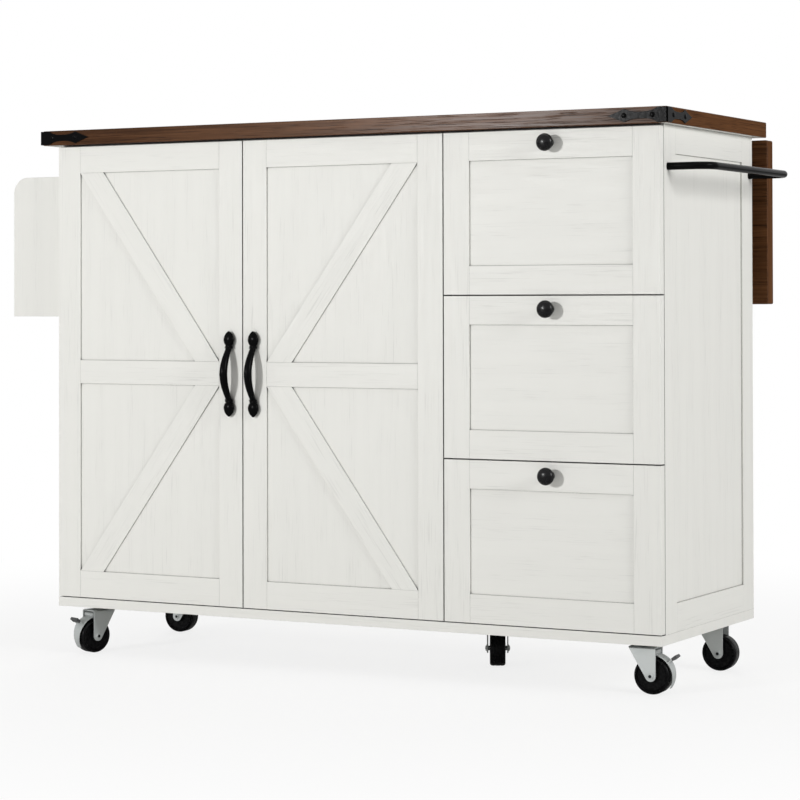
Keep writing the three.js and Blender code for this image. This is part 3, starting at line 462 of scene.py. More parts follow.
def combined(first, others, operation):
    """The union, difference or intersection of closed parts, as one part."""
    made = []
    for points, faces in (first, *others):
        mesh = bpy.data.meshes.new("scratch")
        mesh.from_pydata(points, [], faces)
        bm = bmesh.new()
        bm.from_mesh(mesh)
        bmesh.ops.recalc_face_normals(bm, faces=bm.faces)
        bm.to_mesh(mesh)
        bm.free()
        made.append(bpy.data.objects.new("scratch", mesh))
        bpy.context.scene.collection.objects.link(made[-1])
    for other in made[1:]:
        step = made[0].modifiers.new("step", "BOOLEAN")
        step.operation, step.solver, step.object = operation, "EXACT", other
    result = made[0].evaluated_get(bpy.context.evaluated_depsgraph_get()).to_mesh()
    part = [tuple(v.co) for v in result.vertices], [tuple(p.vertices) for p in result.polygons]
    for obj in made:
        mesh = obj.data
        bpy.data.objects.remove(obj)
        bpy.data.meshes.remove(mesh)
    return part


# ---------------------------------------------------------------- door and drawer fronts

def frame_boards(x, y, z):
    """Two stiles and two rails round an opening, each a board of its own."""
    inner, opening = (x[0] + FRAME_WIDTH, x[1] - FRAME_WIDTH), (z[0] + FRAME_WIDTH, z[1] - FRAME_WIDTH)
    return [
        (slab((x[0], inner[0]), y, z), "white_z"), (slab((inner[1], x[1]), y, z), "white_z"),
        (slab(inner, y, (z[0], opening[0])), "white_x"), (slab(inner, y, (opening[1], z[1])), "white_x"),
    ]


def brace(outer, inner, rail_edge, middle_edge, y, name):
    """A mitred diagonal board with its grain along itself."""
    cut = math.copysign(BRACE_CUT, inner - outer)
    outline = [(outer, rail_edge), (outer + cut, rail_edge), (inner, middle_edge), (inner - cut, middle_edge)]
    along = Vector((inner - cut - outer, 0, middle_edge - rail_edge)).normalized()
    if name not in MATERIALS:
        MATERIALS[name] = white_grain(name, along)
    return prism(outline, "y", *y), name


CUP_INSET, CUP_FROM_END = 23, 95
CUP_RADIUS, CUP_OUTSIDE, CUP_FLANGE, CUP_PROUD = 16, 16.8, 19, 0.7
CUP_DEPTH, CUP_SHEET, CUP_ROUND, FLANGE_SUNK = 9, 0.8, 0.5, 0.6
HOLE_RADIUS, HOLE_DEPTH, HOLE_START = 16.7, 9.9, -2


def hinge_cup(x, y_back, z):
    """The flanged steel cup in a door's back, its mouth open."""
    below = -CUP_DEPTH - CUP_SHEET
    profile = [
        (0, -CUP_DEPTH), (CUP_RADIUS - CUP_ROUND, -CUP_DEPTH), (CUP_RADIUS, CUP_ROUND - CUP_DEPTH),
        (CUP_RADIUS, CUP_PROUD), (CUP_FLANGE, CUP_PROUD), (CUP_FLANGE, -FLANGE_SUNK),
        (CUP_OUTSIDE, -FLANGE_SUNK), (CUP_OUTSIDE, below), (0, below),
    ]
    place = Matrix.Translation((x, y_back, z)) @ rotation(-90, "X")
    return moved(lathe(profile, 40), place), "steel"


def cup_hole(x, y_back, z):
    """What is drilled out of a door's back for a hinge cup."""
    turn = Matrix.Translation((x, y_back, z)) @ rotation(90, "X")
    profile = [(0, HOLE_START), (HOLE_RADIUS, HOLE_START), (HOLE_RADIUS, HOLE_DEPTH), (0, HOLE_DEPTH)]
    return moved(lathe(profile, 40), turn)


def door(side):
    """A door of stiles, three rails, two sunk fields and two braces, with its hinge cups."""
    node = f"{side}_door"
    low, high = cad_span(node)
    x, z = (low.x, high.x), (low.z, high.z)
    front, back = low.y, low.y + FRONT
    inner_x = (x[0] + FRAME_WIDTH, x[1] - FRAME_WIDTH)
    middle = (z[0] + z[1]) / 2
    rails = (z[0] + FRAME_WIDTH, middle - MID_RAIL / 2, middle + MID_RAIL / 2, z[1] - FRAME_WIDTH)
    outer, inner = inner_x if side == "left" else inner_x[::-1]
    parts = frame_boards(x, (front, back), z)
    cup_x, hinged = (x[0] + CUP_INSET, 0) if side == "left" else (x[1] - CUP_INSET, 1)
    cup_heights = (z[0] + CUP_FROM_END, z[1] - CUP_FROM_END)
    holes = [cup_hole(cup_x, back, at) for at in cup_heights]
    parts[hinged] = combined(parts[hinged][0], holes, "DIFFERENCE"), "white_z"
    parts.append((slab(inner_x, (front, back), (rails[1], rails[2])), "white_x"))
    for opening in ((rails[0], rails[1]), (rails[2], rails[3])):
        parts.append((slab(inner_x, (front + RECESS, back), opening), "white_z"))
    raised = (front, front + RECESS)
    parts.append(brace(outer, inner, rails[3], rails[2], raised, f"white_{side}_upper"))
    parts.append(brace(outer, inner, rails[0], rails[1], raised, f"white_{side}_lower"))
    piece(node + "_boards", parts, node, replaces=node)
    cups = [hinge_cup(cup_x, back, at) for at in cup_heights]
    piece(f"{side}_hinge_cups", cups, node, edge=0)


def drawer_front(name):
    """A drawer front of stiles and rails round a sunk field."""
    node = f"{name}_drawer_front"
    low, high = cad_span(node)
    x, z, y = (low.x, high.x), (low.z, high.z), (low.y, high.y)
    parts = frame_boards(x, y, z)
    field = slab((x[0] + FRAME_WIDTH, x[1] - FRAME_WIDTH), (y[0] + RECESS, y[1]),
                 (z[0] + FRAME_WIDTH, z[1] - FRAME_WIDTH))
    piece(node + "_boards", [*parts, (field, "white_x")], f"{name}_drawer", replaces=node)


# ---------------------------------------------------------------- pulls, knobs and iron straps

PULL_LENGTH, FOOT_LENGTH, SPEAR, COLLAR = 146, 30, 10, 8
POST_HEIGHT, POST_RADIUS, POST_FLARE, POST_AT = 5.8, 4, 0.4, 0.38
ARCH, GRIP, GRIP_TAPER, FOOT_FLATNESS = 17, 6.8, 0.3, 0.56
# A pull's foot, as shares of COLLAR or SPEAR and of the foot's length
PULL_RING = ((0, 0), (0.8, 0), (1, 0.03), (1, 0.06), (0.84, 0.09), (0.9, 0.12), (0.9, 0.15), (0.72, 0.19))
PULL_SPEAR = ((0.76, 0.24), (0.88, 0.32), (0.97, 0.41), (1, 0.49), (0.97, 0.57), (0.88, 0.68), (0.74, 0.78),
              (0.54, 0.87), (0.3, 0.95), (0.14, 0.985), (0, 1))
# A knob, as shares of its neck's or its head's radius and of its height
KNOB_NECK = 5.5
KNOB_FOOT = ((0, 0), (1.45, 0), (1.45, 0.04), (1.36, 0.08), (1.12, 0.12), (1, 0.18), (0.94, 0.3),
             (0.98, 0.38), (1.3, 0.44))
KNOB_HEAD = ((0.72, 0.49), (0.9, 0.54), (0.985, 0.6), (1, 0.66), (0.985, 0.73), (0.93, 0.81), (0.8, 0.885),
             (0.6, 0.945), (0.32, 0.985), (0, 1))


def door_pull(side):
    """An arched grip between two feet: a ringed collar and a spear-shaped finial on each."""
    node = f"{side}_door_pull"
    low, high = cad_span(node)
    centre = Vector(((low.x + high.x) / 2, high.y, (low.z + high.z) / 2))
    start = PULL_LENGTH / 2 - FOOT_LENGTH
    steps = [i / 18 - 1 for i in range(37)]
    lift = [math.cos(t * math.pi / 2) for t in steps]
    centres = [Vector((0, -POST_HEIGHT - ARCH * up, t * (start + 1))) for t, up in zip(steps, lift)]
    radii = [GRIP * (1 - GRIP_TAPER + GRIP_TAPER * up) for up in lift]
    grip = tube(centres, radii, AXES["x"], 24)
    foot = lathe(scaled(PULL_RING, COLLAR, FOOT_LENGTH) + scaled(PULL_SPEAR, SPEAR, FOOT_LENGTH), 28)
    post = lathe([(0, 0), (POST_RADIUS + POST_FLARE, 0), (POST_RADIUS, 2 * POST_FLARE),
                  (POST_RADIUS, POST_HEIGHT), (0, POST_HEIGHT)], 20)
    parts = [(grip, "black_iron")]
    for flip in (1, -1):
        shape = Matrix.Diagonal((1, FOOT_FLATNESS, flip, 1))
        parts.append((moved(foot, Matrix.Translation((0, -POST_HEIGHT, flip * start)) @ shape), "black_iron"))
        under = Matrix.Translation((0, 0, flip * (start + POST_AT * FOOT_LENGTH)))
        parts.append((moved(post, under @ rotation(90, "X")), "black_iron"))
    placed = all_moved(parts, Matrix.Translation(centre))
    piece(node + "_cast", placed, f"{side}_door", replaces=node, edge=0, smooth_angle=50)


def knob(name):
    """A mushroom knob with a ringed foot and a crowned head."""
    node = f"{name}_drawer_knob"
    low, high = cad_span(node)
    radius, height = (high.z - low.z) / 2, high.y - low.y
    profile = scaled(KNOB_FOOT, KNOB_NECK, height) + scaled(KNOB_HEAD, radius, height)
    centre = ((low.x + high.x) / 2, high.y, (low.z + high.z) / 2)
    place = Matrix.Translation(centre) @ rotation(90, "X")
    part = (moved(lathe(profile, 48), place), "black_gloss")
    piece(node + "_turned", [part], f"{name}_drawer", replaces=node, edge=0, smooth_angle=60)


def bezier(p0, p1, p2, p3, steps=8):
    """Points along a cubic curve, without its first."""
    points = []
    for i in range(1, steps + 1):
        t = i / steps
        weights = ((1 - t) ** 3, 3 * t * (1 - t) ** 2, 3 * t * t * (1 - t), t ** 3)
        points.append(tuple(sum(w * p[a] for w, p in zip(weights, (p0, p1, p2, p3))) for a in (0, 1)))
    return points


STRAP_ARM, STRAP_SHEET, STRAP_SHOULDER, STRAP_SPEAR_AT, STRAP_FLARE = 100, 2.5, 15, 71, 9
STRAP_TALL, STRAP_WAIST, STRAP_SPEAR, STRAP_SCREWS = 12, 5.5, 10.5, (23, 71)
SCREW_HEAD = ((1, 0), (0.86, 0.5), (0.6, 0.82), (0.3, 0.97), (0, 1))  # shares of its radius and height


def strap_outline():
    """One arm: square at the corner, drawn in to a waist, then a spear that ends in a point."""
    middle = (STRAP_SHOULDER + STRAP_SPEAR_AT) / 2
    neck, bend = (middle, -STRAP_WAIST), STRAP_SPEAR_AT + 0.4 * (STRAP_ARM - STRAP_SPEAR_AT)
    shoulder, spear = (STRAP_SHOULDER, -STRAP_TALL), (STRAP_SPEAR_AT, -STRAP_SPEAR)

    def at_waist(along):
        return along, -STRAP_WAIST

    half = [shoulder]
    half += bezier(shoulder, at_waist(shoulder[0] + STRAP_FLARE), at_waist(middle - STRAP_FLARE), neck)
    half += bezier(neck, at_waist(middle + STRAP_FLARE), at_waist(spear[0] - STRAP_FLARE), spear)
    half += bezier(spear, (bend, -0.55 * STRAP_SPEAR), (bend + 8, -0.25 * STRAP_SPEAR), (STRAP_ARM, 0))
    ends = [(-STRAP_SHEET, -STRAP_TALL)]
    return ends + half + [(u, -v) for u, v in reversed(half[:-1])] + [(-STRAP_SHEET, STRAP_TALL)]


def strap_screw(along):
    """A plain domed screw head, sunk a little into the strap."""
    radius, height, sunk = 4.4, 1.6, -1
    dome = lathe([(0, sunk), (radius, sunk), *scaled(SCREW_HEAD, radius, height)], 28)
    return moved(dome, Matrix.Translation((along, 0, STRAP_SHEET)))


def corner_strap(side):
    """A strap round a front corner of the worktop, one arm along the front and one along the side."""
    node = f"{side}_corner_strap"
    low, high = cad_span("worktop")
    hand = 1 if side == "right" else -1
    corner = Vector((high.x if hand > 0 else low.x, low.y, (low.z + high.z) / 2))
    arm = [prism(strap_outline(), "z", 0, STRAP_SHEET), *(strap_screw(a) for a in STRAP_SCREWS)]
    upright = rotation(90, "X")
    along_front = Matrix.Diagonal((-hand, 1, 1, 1)) @ upright
    along_side = Matrix.Diagonal((hand, 1, 1, 1)) @ rotation(90, "Z") @ upright
    ways = [Matrix.Translation(corner) @ way for way in (along_front, along_side)]
    parts = [(moved(part, way), "black_iron") for way in ways for part in arm]
    piece(node + "_forged", parts, "cabinet", replaces=node, edge=0.35)


def towel_bar():
    """A round bar bent into a flat U."""
    low, high = cad_span("towel_bar")
    radius, bend = 6, 26
    outer, level = high.x - radius, (low.z + high.z) / 2
    near, far, start = 15, 371, cad_span("base_board")[1].x

    def corner(y, first):
        points = arc((outer - bend, y), bend, first, first + 90, 18)
        return [Vector((u, v, level)) for u, v in points]

    centres = [Vector((start, near, level)), *corner(near + bend, -90), *corner(far - bend, 0),
               Vector((start, far, level))]
    bar = tube(centres, [radius] * len(centres), AXES["z"], 28)
    piece("towel_bar_bent", [(bar, "black_iron")], "cabinet", replaces="towel_bar",
          edge=0, smooth_angle=50)


# ---------------------------------------------------------------- carcass boards and hardware

def side_boards(outer, hand):
    """A side panel of stiles and rails round a sunk field; hand is -1 on the left and 1 on the right."""
    front, back = cad_span("front_stretcher")[0].y, cad_span("back_panel")[1].y
    low, high = cad_span("base_board")[1].z, cad_span("worktop")[0].z
    inner = outer - hand * BOARD
    x = tuple(sorted((inner, outer)))
    sunk = tuple(sorted((inner, outer - hand * RECESS)))
    field_y, field_z = (front + SIDE_STILE, back - SIDE_STILE), (low + SIDE_RAIL, high - SIDE_RAIL)
    return [
        (slab(x, (front, field_y[0]), (low, high)), "white_z"),
        (slab(x, (field_y[1], back), (low, high)), "white_z"),
        (slab(x, field_y, (low, field_z[0])), "white_y"),
        (slab(x, field_y, (field_z[1], high)), "white_y"),
        (slab(sunk, field_y, field_z), "white_z"),
    ]


ARM_BACK, ARM_PLATE, ARM_TALL, ARM_SHEET, ARM_HALF = 62, 46, 34, 3, 7.5
NOSE_PAST_CUP, NOSE_THICK, NOSE_FRONT = 2.5, 5, -5


def hinge_arm(face, inward, cup_x, z):
    """The plate, arm and nose of a concealed hinge on a board."""
    nose = cup_x + inward * NOSE_PAST_CUP
    depth, narrow = (ARM_BACK - ARM_PLATE, ARM_BACK), (z - ARM_HALF, z + ARM_HALF)
    boxes = [
        ((face, face + inward * ARM_SHEET), depth, (z - ARM_TALL / 2, z + ARM_TALL / 2)),
        ((face, nose), depth, narrow),
        ((nose - inward * NOSE_THICK, nose), (NOSE_FRONT, ARM_BACK), narrow),
    ]
    return [(slab(tuple(sorted(x)), y, rise), "steel") for x, y, rise in boxes]


def shelf_pins(face, inward):
    """The two pins under one end of the shelf."""
    low, high = cad_span("shelf")
    radius, length, chamfer, from_edge, drop = 2.5, 8, 0.6, 40, 2.8
    profile = [(0, 0), (radius, 0), (radius, length - chamfer), (radius - chamfer, length), (0, length)]
    pin = lathe(profile, 20)
    turn = rotation(90 * inward, "Y")
    places = [(face, y, low.z - drop) for y in (low.y + from_edge, high.y - from_edge)]
    return [(moved(pin, Matrix.Translation(place) @ turn), "steel") for place in places]


def runner_channel(face, inward, z):
    """A C-shaped drawer runner whose open side faces the drawer."""
    outer, sheet, mouth, front, back = 17.5, 1.5, 12, 2, 342
    outline = [(0, -outer), (mouth, -outer), (mouth, sheet - outer), (sheet, sheet - outer),
               (sheet, outer - sheet), (mouth, outer - sheet), (mouth, outer), (0, outer)]
    placed = [(face + inward * u, z + v) for u, v in outline]
    return prism(placed, "y", front, back), "steel"


def side_panels():
    left, right = cad_span("base_board")[0].x, cad_span("base_board")[1].x
    piece("left_side_boards", side_boards(left, -1), "cabinet", replaces="left_side_panel")
    piece("right_side_boards", side_boards(right, 1), "cabinet", replaces="right_side_panel")


def carcass_hardware():
    """Hinge arms, shelf pins and runner channels, as steel pieces of their own."""
    left_face, right_face = cad_span("front_stretcher")[0].x, cad_span("front_stretcher")[1].x
    door_low, door_high = cad_span("left_door")[0], cad_span("right_door")[1]
    heights = (door_low.z + CUP_FROM_END, door_high.z - CUP_FROM_END)
    arms = [p for z in heights for p in hinge_arm(left_face, 1, door_low.x + CUP_INSET, z)]
    arms += [p for z in heights for p in hinge_arm(PARTITION[0], -1, door_high.x - CUP_INSET, z)]
    piece("door_hinge_arms", arms, "cabinet", edge=0.4)
    pins = shelf_pins(left_face, 1) + shelf_pins(PARTITION[0], -1)
    piece("shelf_pin_set", pins, "cabinet", edge=0)
    channels = []
    for name in DRAWERS:
        low, high = cad_span(f"{name}_drawer_tray")
        z = (low.z + high.z) / 2
        channels += [runner_channel(PARTITION[1], 1, z), runner_channel(right_face, -1, z)]
    piece("runner_channels", channels, "cabinet", edge=0.3)


def partition_board():
    """The divider between doors and drawers, notched for the stretcher."""
    back = cad_span("back_panel")[0].y
    low, high = cad_span("base_board")[1].z, cad_span("worktop")[0].z
    notch = cad_span("front_stretcher")
    outline = [(0, low), (back, low), (back, high), (notch[1].y, high), (notch[1].y, notch[0].z),
               (0, notch[0].z)]
    piece("partition_board", [(prism(outline, "x", *PARTITION), "white_z")], "cabinet",
          replaces="partition")


DRAWERS = ("top", "middle", "bottom")
PARTITION = (760.5, 776.5)
WALL, TRAY_LIFT, TRAY_BOTTOM, RUNNER_GAP = 12, 10, 5, 12.5
BAR_REACH, BAR_HALF, BAR_SHORT = 10.5, 15.5, 2


def drawer_tray(name):
    """Four walls, a bottom let in above their lower edges, and a steel runner bar on each side."""
    node = f"{name}_drawer_tray"
    low, high = cad_span(node)
    x = (PARTITION[1] + RUNNER_GAP, cad_span("front_stretcher")[1].x - RUNNER_GAP)
    y, z = (low.y, high.y), (low.z, high.z)
    inside = (x[0] + WALL, x[1] - WALL)
    walls = [
        slab((x[0], inside[0]), y, z), slab((inside[1], x[1]), y, z),
        slab(inside, (y[0], y[0] + WALL), z), slab(inside, (y[1] - WALL, y[1]), z),
        slab(inside, (y[0] + WALL, y[1] - WALL), (z[0] + TRAY_LIFT, z[0] + TRAY_LIFT + TRAY_BOTTOM)),
    ]
    parts = [(wall, "drawer_board") for wall in walls]
    piece(f"{name}_drawer_box", parts, f"{name}_drawer", replaces=node)
    middle = (z[0] + z[1]) / 2
    bars = [
        slab(span, (BAR_SHORT, y[1] - BAR_SHORT), (middle - BAR_HALF, middle + BAR_HALF))
        for span in ((x[0] - BAR_REACH, x[0]), (x[1], x[1] + BAR_REACH))
    ]
    piece(f"{name}_runner_bars", [(b, "steel") for b in bars], f"{name}_drawer", edge=0.6)


def rack_ends():
    """The rounded end boards of the spice rack."""
    for name in ("rack_front_end", "rack_rear_end"):
        low, high = cad_span(name)
        radius = 29
        rounded = arc((low.x + radius, high.z - radius), radius, 90, 180, 18)
        outline = [(low.x, low.z), (high.x, low.z), (high.x, high.z), *rounded]
        piece(name + "_board", [(prism(outline, "y", low.y, high.y), "white_z")], "cabinet",
              replaces=name)


# ---------------------------------------------------------------- casters

CASTERS = ("front_left", "front_right", "rear_right", "rear_left", "centre")
TRAIL, FORK_SHEET, FORK_HALF, FORK_FRONT, FORK_BACK, FORK_FOOT = 21, 2.2, 18.2, 16.5, 29.5, 8.5
FORK_BEND, AXLE_RADIUS = 4, 4
# A washer, a nut and the axle's end: radius, from and to outside the fork, sides, rounding, material
AXLE_STACK = ((6.4, 0, 0.7, 28, 0.2, "zinc"), (5, 0.7, 2.3, 6, 0.5, "zinc"),
              (2.7, 2.3, 2.9, 28, 0.3, "dark_edge"))
PLATE_THICK, PLATE_ROUND, PLATE_SCREW_INSET = 2.5, 4, 6
RACE_HEIGHT, KINGPIN_RADIUS, PIN_HEAD_RADIUS, PIN_HEAD_HEIGHT = 4.5, 4, 7, 3
BRAKE_SHEET, BRAKE_RADIUS, BRAKE_PIN, BRAKE_PIN_RADIUS = 1.2, 33, (25, 66.3), 2.2
BRAKE_HALF, BRAKE_TAIL_HALF, BRAKE_TAIL_ANGLE, BRAKE_TAPER = 12, 4.5, -35, 21
EYE_BORE, EYE_RADIUS = 2.5, 4.2
TAB_ANGLE, TAB_HALF, TAB_END, GRIP_FROM, GRIP_TO, GRIP_Z = 40, 10, 9, 8, 17, (-2.85, 1.65)


def caster_places(name):
    """Where a caster's swivel axis and its axle are, and the matrix that puts its parts there."""
    pivot = sum(cad_span(f"{name}_caster_plate"), Vector()) / 2
    axle = sum(cad_span(f"{name}_wheel"), Vector()) / 2
    heading = math.atan2(axle.y - pivot.y, axle.x - pivot.x)
    return pivot, axle, Matrix.Translation((pivot.x, pivot.y, 0)) @ Matrix.Rotation(heading, 4, "Z")


def across(radius, first, last, x, z, sides=28, dome=0):
    """A round part along a caster's axle, from one place on it to another, where dome rounds it."""
    length = abs(last - first)
    profile = [(0, 0), (radius, 0), (radius, length - dome), (radius - dome, length), (0, length)]
    turn = rotation(-90 if last > first else 90, "X")
    return moved(lathe(profile, sides), Matrix.Translation((x, first, z)) @ turn)


def wheel(name):
    """A moulded wheel with a stepped hub, a dished web and a grooved tread."""
    node = f"{name}_wheel"
    low, high = cad_span(node)
    _, axle, place = caster_places(name)
    r, w, bore = (high.z - low.z) / 2, 13.5, 4.15
    half = [
        (bore, w), (8.4, w), (9, w - 0.6), (9, w - 3), (r - 6.4, w - 3), (r - 5.6, w - 2.2), (r - 4, w - 0.3),
        (r - 2.8, w - 0.4), (r - 1.2, w - 1.6), (r - 0.4, w - 3), (r, w - 5), (r, 5.2), (r - 0.5, 4.8),
        (r - 0.5, 4.2), (r, 3.8),
    ]
    profile = [*half, *((radius, -height) for radius, height in reversed(half))]
    turn = place @ Matrix.Translation((TRAIL, 0, axle.z)) @ rotation(90, "X")
    part = (moved(lathe(profile, 72), turn), "black_wheel")
    piece(node + "_moulded", [part], f"{name}_wheel", replaces=node, edge=0, smooth_angle=40)


def tangent(point, centre, radius, turn):
    """The direction in degrees, from a circle's centre, of the point where a line from outside touches it."""
    x, z = point[0] - centre[0], point[1] - centre[1]
    return math.degrees(math.atan2(z, x) + turn * math.acos(radius / math.hypot(x, z)))


def caster_fork(name, braked):
    """A fork bent from one sheet, with an axle, washers and nuts, and the brake's cross pin."""
    node = f"{name}_fork"
    _, axle, place = caster_places(name)
    crown = cad_span(node)[1].z
    inner, bend = FORK_HALF - FORK_SHEET, FORK_BEND
    outer_arc = arc((FORK_HALF - bend, crown - bend), bend, 0, 90, 6)
    inner_arc = arc((FORK_HALF - bend, crown - bend), bend - FORK_SHEET, 90, 0, 6)
    right = [(FORK_HALF, 0), *outer_arc]
    left = [(-y, z) for y, z in reversed(right)]
    under = [(inner, 0), *reversed(inner_arc)]
    channel = prism([*right, *left, *((-y, z) for y, z in under), *reversed(under)], "x", -40, 50)
    foot = (TRAIL, axle.z)
    ahead, behind = (-FORK_FRONT, crown + 1), (FORK_BACK, crown + 1)
    first = tangent(ahead, foot, FORK_FOOT, 1)
    last = tangent(behind, foot, FORK_FOOT, -1) + 360
    side = prism([behind, ahead, *arc(foot, FORK_FOOT, first, last, 14)], "y", -30, 30)
    sheet = combined(channel, [side], "INTERSECT")
    parts = [(sheet, "zinc"), (across(AXLE_RADIUS, -inner, inner, TRAIL, axle.z), "zinc")]
    for hand in (1, -1):
        for radius, start, end, sides, dome, material in AXLE_STACK:
            span = (hand * (FORK_HALF + start), hand * (FORK_HALF + end))
            parts.append((across(radius, *span, TRAIL, axle.z, sides=sides, dome=dome), material))
    if braked:
        reach = inner + 0.5
        parts.append((across(BRAKE_PIN_RADIUS, -reach, reach, *BRAKE_PIN), "zinc"))
    piece(node + "_pressed", all_moved(parts, place), node, replaces=node, edge=0.3)


def caster_plate(name):
    """A plate with four plain screw heads, the two rings of its race and the headed kingpin."""
    node = f"{name}_caster_plate"
    low, high = cad_span(node)
    pivot, _, _ = caster_places(name)
    here = Matrix.Translation((pivot.x, pivot.y, 0))
    half, under = (high.x - low.x) / 2, high.z - PLATE_THICK
    signs = ((1, 1), (-1, 1), (-1, -1), (1, -1))
    rounded, screwed = half - PLATE_ROUND, half - PLATE_SCREW_INSET
    outline = []
    for quarter, (sx, sy) in enumerate(signs):
        first = 90 * quarter
        outline += arc((sx * rounded, sy * rounded), PLATE_ROUND, first, first + 90, 5)
    # Painted shade and reflection: the plate takes the near-black plated tone.
    parts = [(prism(outline, "z", under, high.z), "dark_edge")]
    race_end, head_end = under - RACE_HEIGHT, low.z + PIN_HEAD_HEIGHT
    rings = [(14.5, 4.2), (15.6, 3.2), (16.6, 2.6), (17, 2), (17, 1.4), (16.2, 1.1), (16.2, 0.7), (17, 0.4)]
    race = [(0, race_end), (13.5, race_end), *((out, under - down) for out, down in rings), (17, under),
            (0, under)]
    head = [(0, low.z), (PIN_HEAD_RADIUS - 0.8, low.z), (PIN_HEAD_RADIUS, low.z + 0.8),
            (PIN_HEAD_RADIUS, head_end), (KINGPIN_RADIUS, head_end), (KINGPIN_RADIUS, race_end),
            (0, race_end)]
    parts += [(lathe(race, 48), "zinc"), (lathe(head, 32), "zinc")]
    screw = lathe([(0, -1.4), (1.2, -1.35), (2.3, -1.0), (3, -0.3), (3, 0), (0, 0)], 20)
    for sx, sy in signs:
        parts.append((moved(screw, Matrix.Translation((sx * screwed, sy * screwed, under))), "zinc"))
    piece(node + "_pressed", all_moved(parts, here), "cabinet", replaces=node, edge=0.25)


def brake_lever(name):
    """A pressed lever: an eye on the cross pin, a tapered band behind the tread and a gripped tab."""
    node = f"{name}_brake_pedal"
    _, axle, place = caster_places(name)
    centre, outer = (TRAIL, axle.z), BRAKE_RADIUS + BRAKE_SHEET
    top = math.degrees(math.atan2(BRAKE_PIN[1] - axle.z, BRAKE_PIN[0] - TRAIL))
    outline = arc(centre, outer, BRAKE_TAIL_ANGLE, top, 26)
    outline += arc(centre, BRAKE_RADIUS, top, BRAKE_TAIL_ANGLE, 26)
    tail = axle.z + outer * math.sin(math.radians(BRAKE_TAIL_ANGLE))
    start, past, below = axle.z + BRAKE_TAPER, BRAKE_HALF + 2, tail - 2
    taper = [(past, start), (BRAKE_HALF, start), (BRAKE_TAIL_HALF, tail), (BRAKE_TAIL_HALF, below),
             (past, below)]
    beside = [prism([(hand * y, z) for y, z in taper], "x", TRAIL, TRAIL + 2 * outer) for hand in (1, -1)]
    band = combined(prism(outline, "y", -BRAKE_HALF, BRAKE_HALF), beside, "DIFFERENCE")
    eye = lathe([(EYE_BORE, -BRAKE_HALF), (EYE_RADIUS, -BRAKE_HALF), (EYE_RADIUS, BRAKE_HALF),
                 (EYE_BORE, BRAKE_HALF)], 28)
    eye = moved(eye, Matrix.Translation((BRAKE_PIN[0], 0, BRAKE_PIN[1])) @ rotation(90, "X"))
    bore = across(EYE_BORE, -BRAKE_HALF - 1, BRAKE_HALF + 1, *BRAKE_PIN)
    band = combined(band, [bore], "DIFFERENCE")
    lever = Matrix.Translation((TRAIL, 0, axle.z)) @ rotation(-TAB_ANGLE, "Y")
    wide = (-TAB_HALF, TAB_HALF)
    tab = slab((outer - BRAKE_SHEET / 2, outer + TAB_END), wide, (-BRAKE_SHEET, 0))
    grip = slab((outer + GRIP_FROM, outer + GRIP_TO), wide, GRIP_Z)
    parts = [(band, "zinc"), (eye, "zinc"), (moved(tab, lever), "zinc"), (moved(grip, lever), "grip")]
    piece(node + "_pressed", all_moved(parts, place), node, replaces=node, edge=0.35)


# ---------------------------------------------------------------- build

def build():
    for side in ("left", "right"):
        door(side)
        door_pull(side)
        corner_strap(side)
    for name in DRAWERS:
        drawer_front(name)
        knob(name)
        drawer_tray(name)
    towel_bar()
    side_panels()
    partition_board()
    carcass_hardware()
    rack_ends()
    for node in ("base_board", "front_stretcher", "back_panel", "shelf"):
        plain_board(node, "white_x")
    for level in ("lower", "upper"):
        plain_board(f"rack_{level}_shelf", "white_y")
        plain_board(f"rack_{level}_guard", "white_y")
    dress("worktop", "brown_top")
    dress("drop_leaf", "brown_leaf")
    for where in ("left", "middle", "right"):
        dress(f"{where}_worktop_hinge_wing", "steel")
        dress(f"{where}_leaf_hinge_wing", "steel")
    for side in ("left", "right"):
        for part in ("stay_bracket", "stay", "stay_channel"):
            dress(f"{side}_{part}", "steel")
    for name in CASTERS:
        braked = f"{name}_brake_pedal" in frame["nodes"]
        caster_plate(name)
        caster_fork(name, braked)
        wheel(name)
        if braked:
            brake_lever(name)


# ---------------------------------------------------------------- stage

LENS, SENSOR, SHIFT_UP, CLIP = 113.87, 36, -0.171, (0.1, 60)
CAMERA_PLACE = (2.6741, -3.6665, 0.6241)  # metres from CORNER
YAW_PITCH_ROLL = (28.54, 0.80, -0.13)

# name, place, target, size, power: a key from the front left, a wide fill from the right, a soft one
# from above and one from behind, so that the back is lit too
LAMPS = (
    ("key", (-1.68, -4.3, 1.26), (0.1, 0, 0.5), 0.3, 93),
    ("fill", (4.7, -1.0, 2.2), (0.4, 0, 0.5), 2.0, 117),
    ("top", (0, 0.3, 3.6), (0, 0, 0.5), 3.0, 22),
    ("back", (-2.4, 4.0, 2.2), (0, 0, 0.5), 2.5, 95),
)
WORLD_LIGHT = 0.2
FLOOR_HALF, FLOOR_COLOUR = 30, (0.88, 0.88, 0.87, 1)
FADE = {"From Min": 0.5, "From Max": 1.9, "To Min": 0.8, "To Max": 1.0}  # by metres from the middle


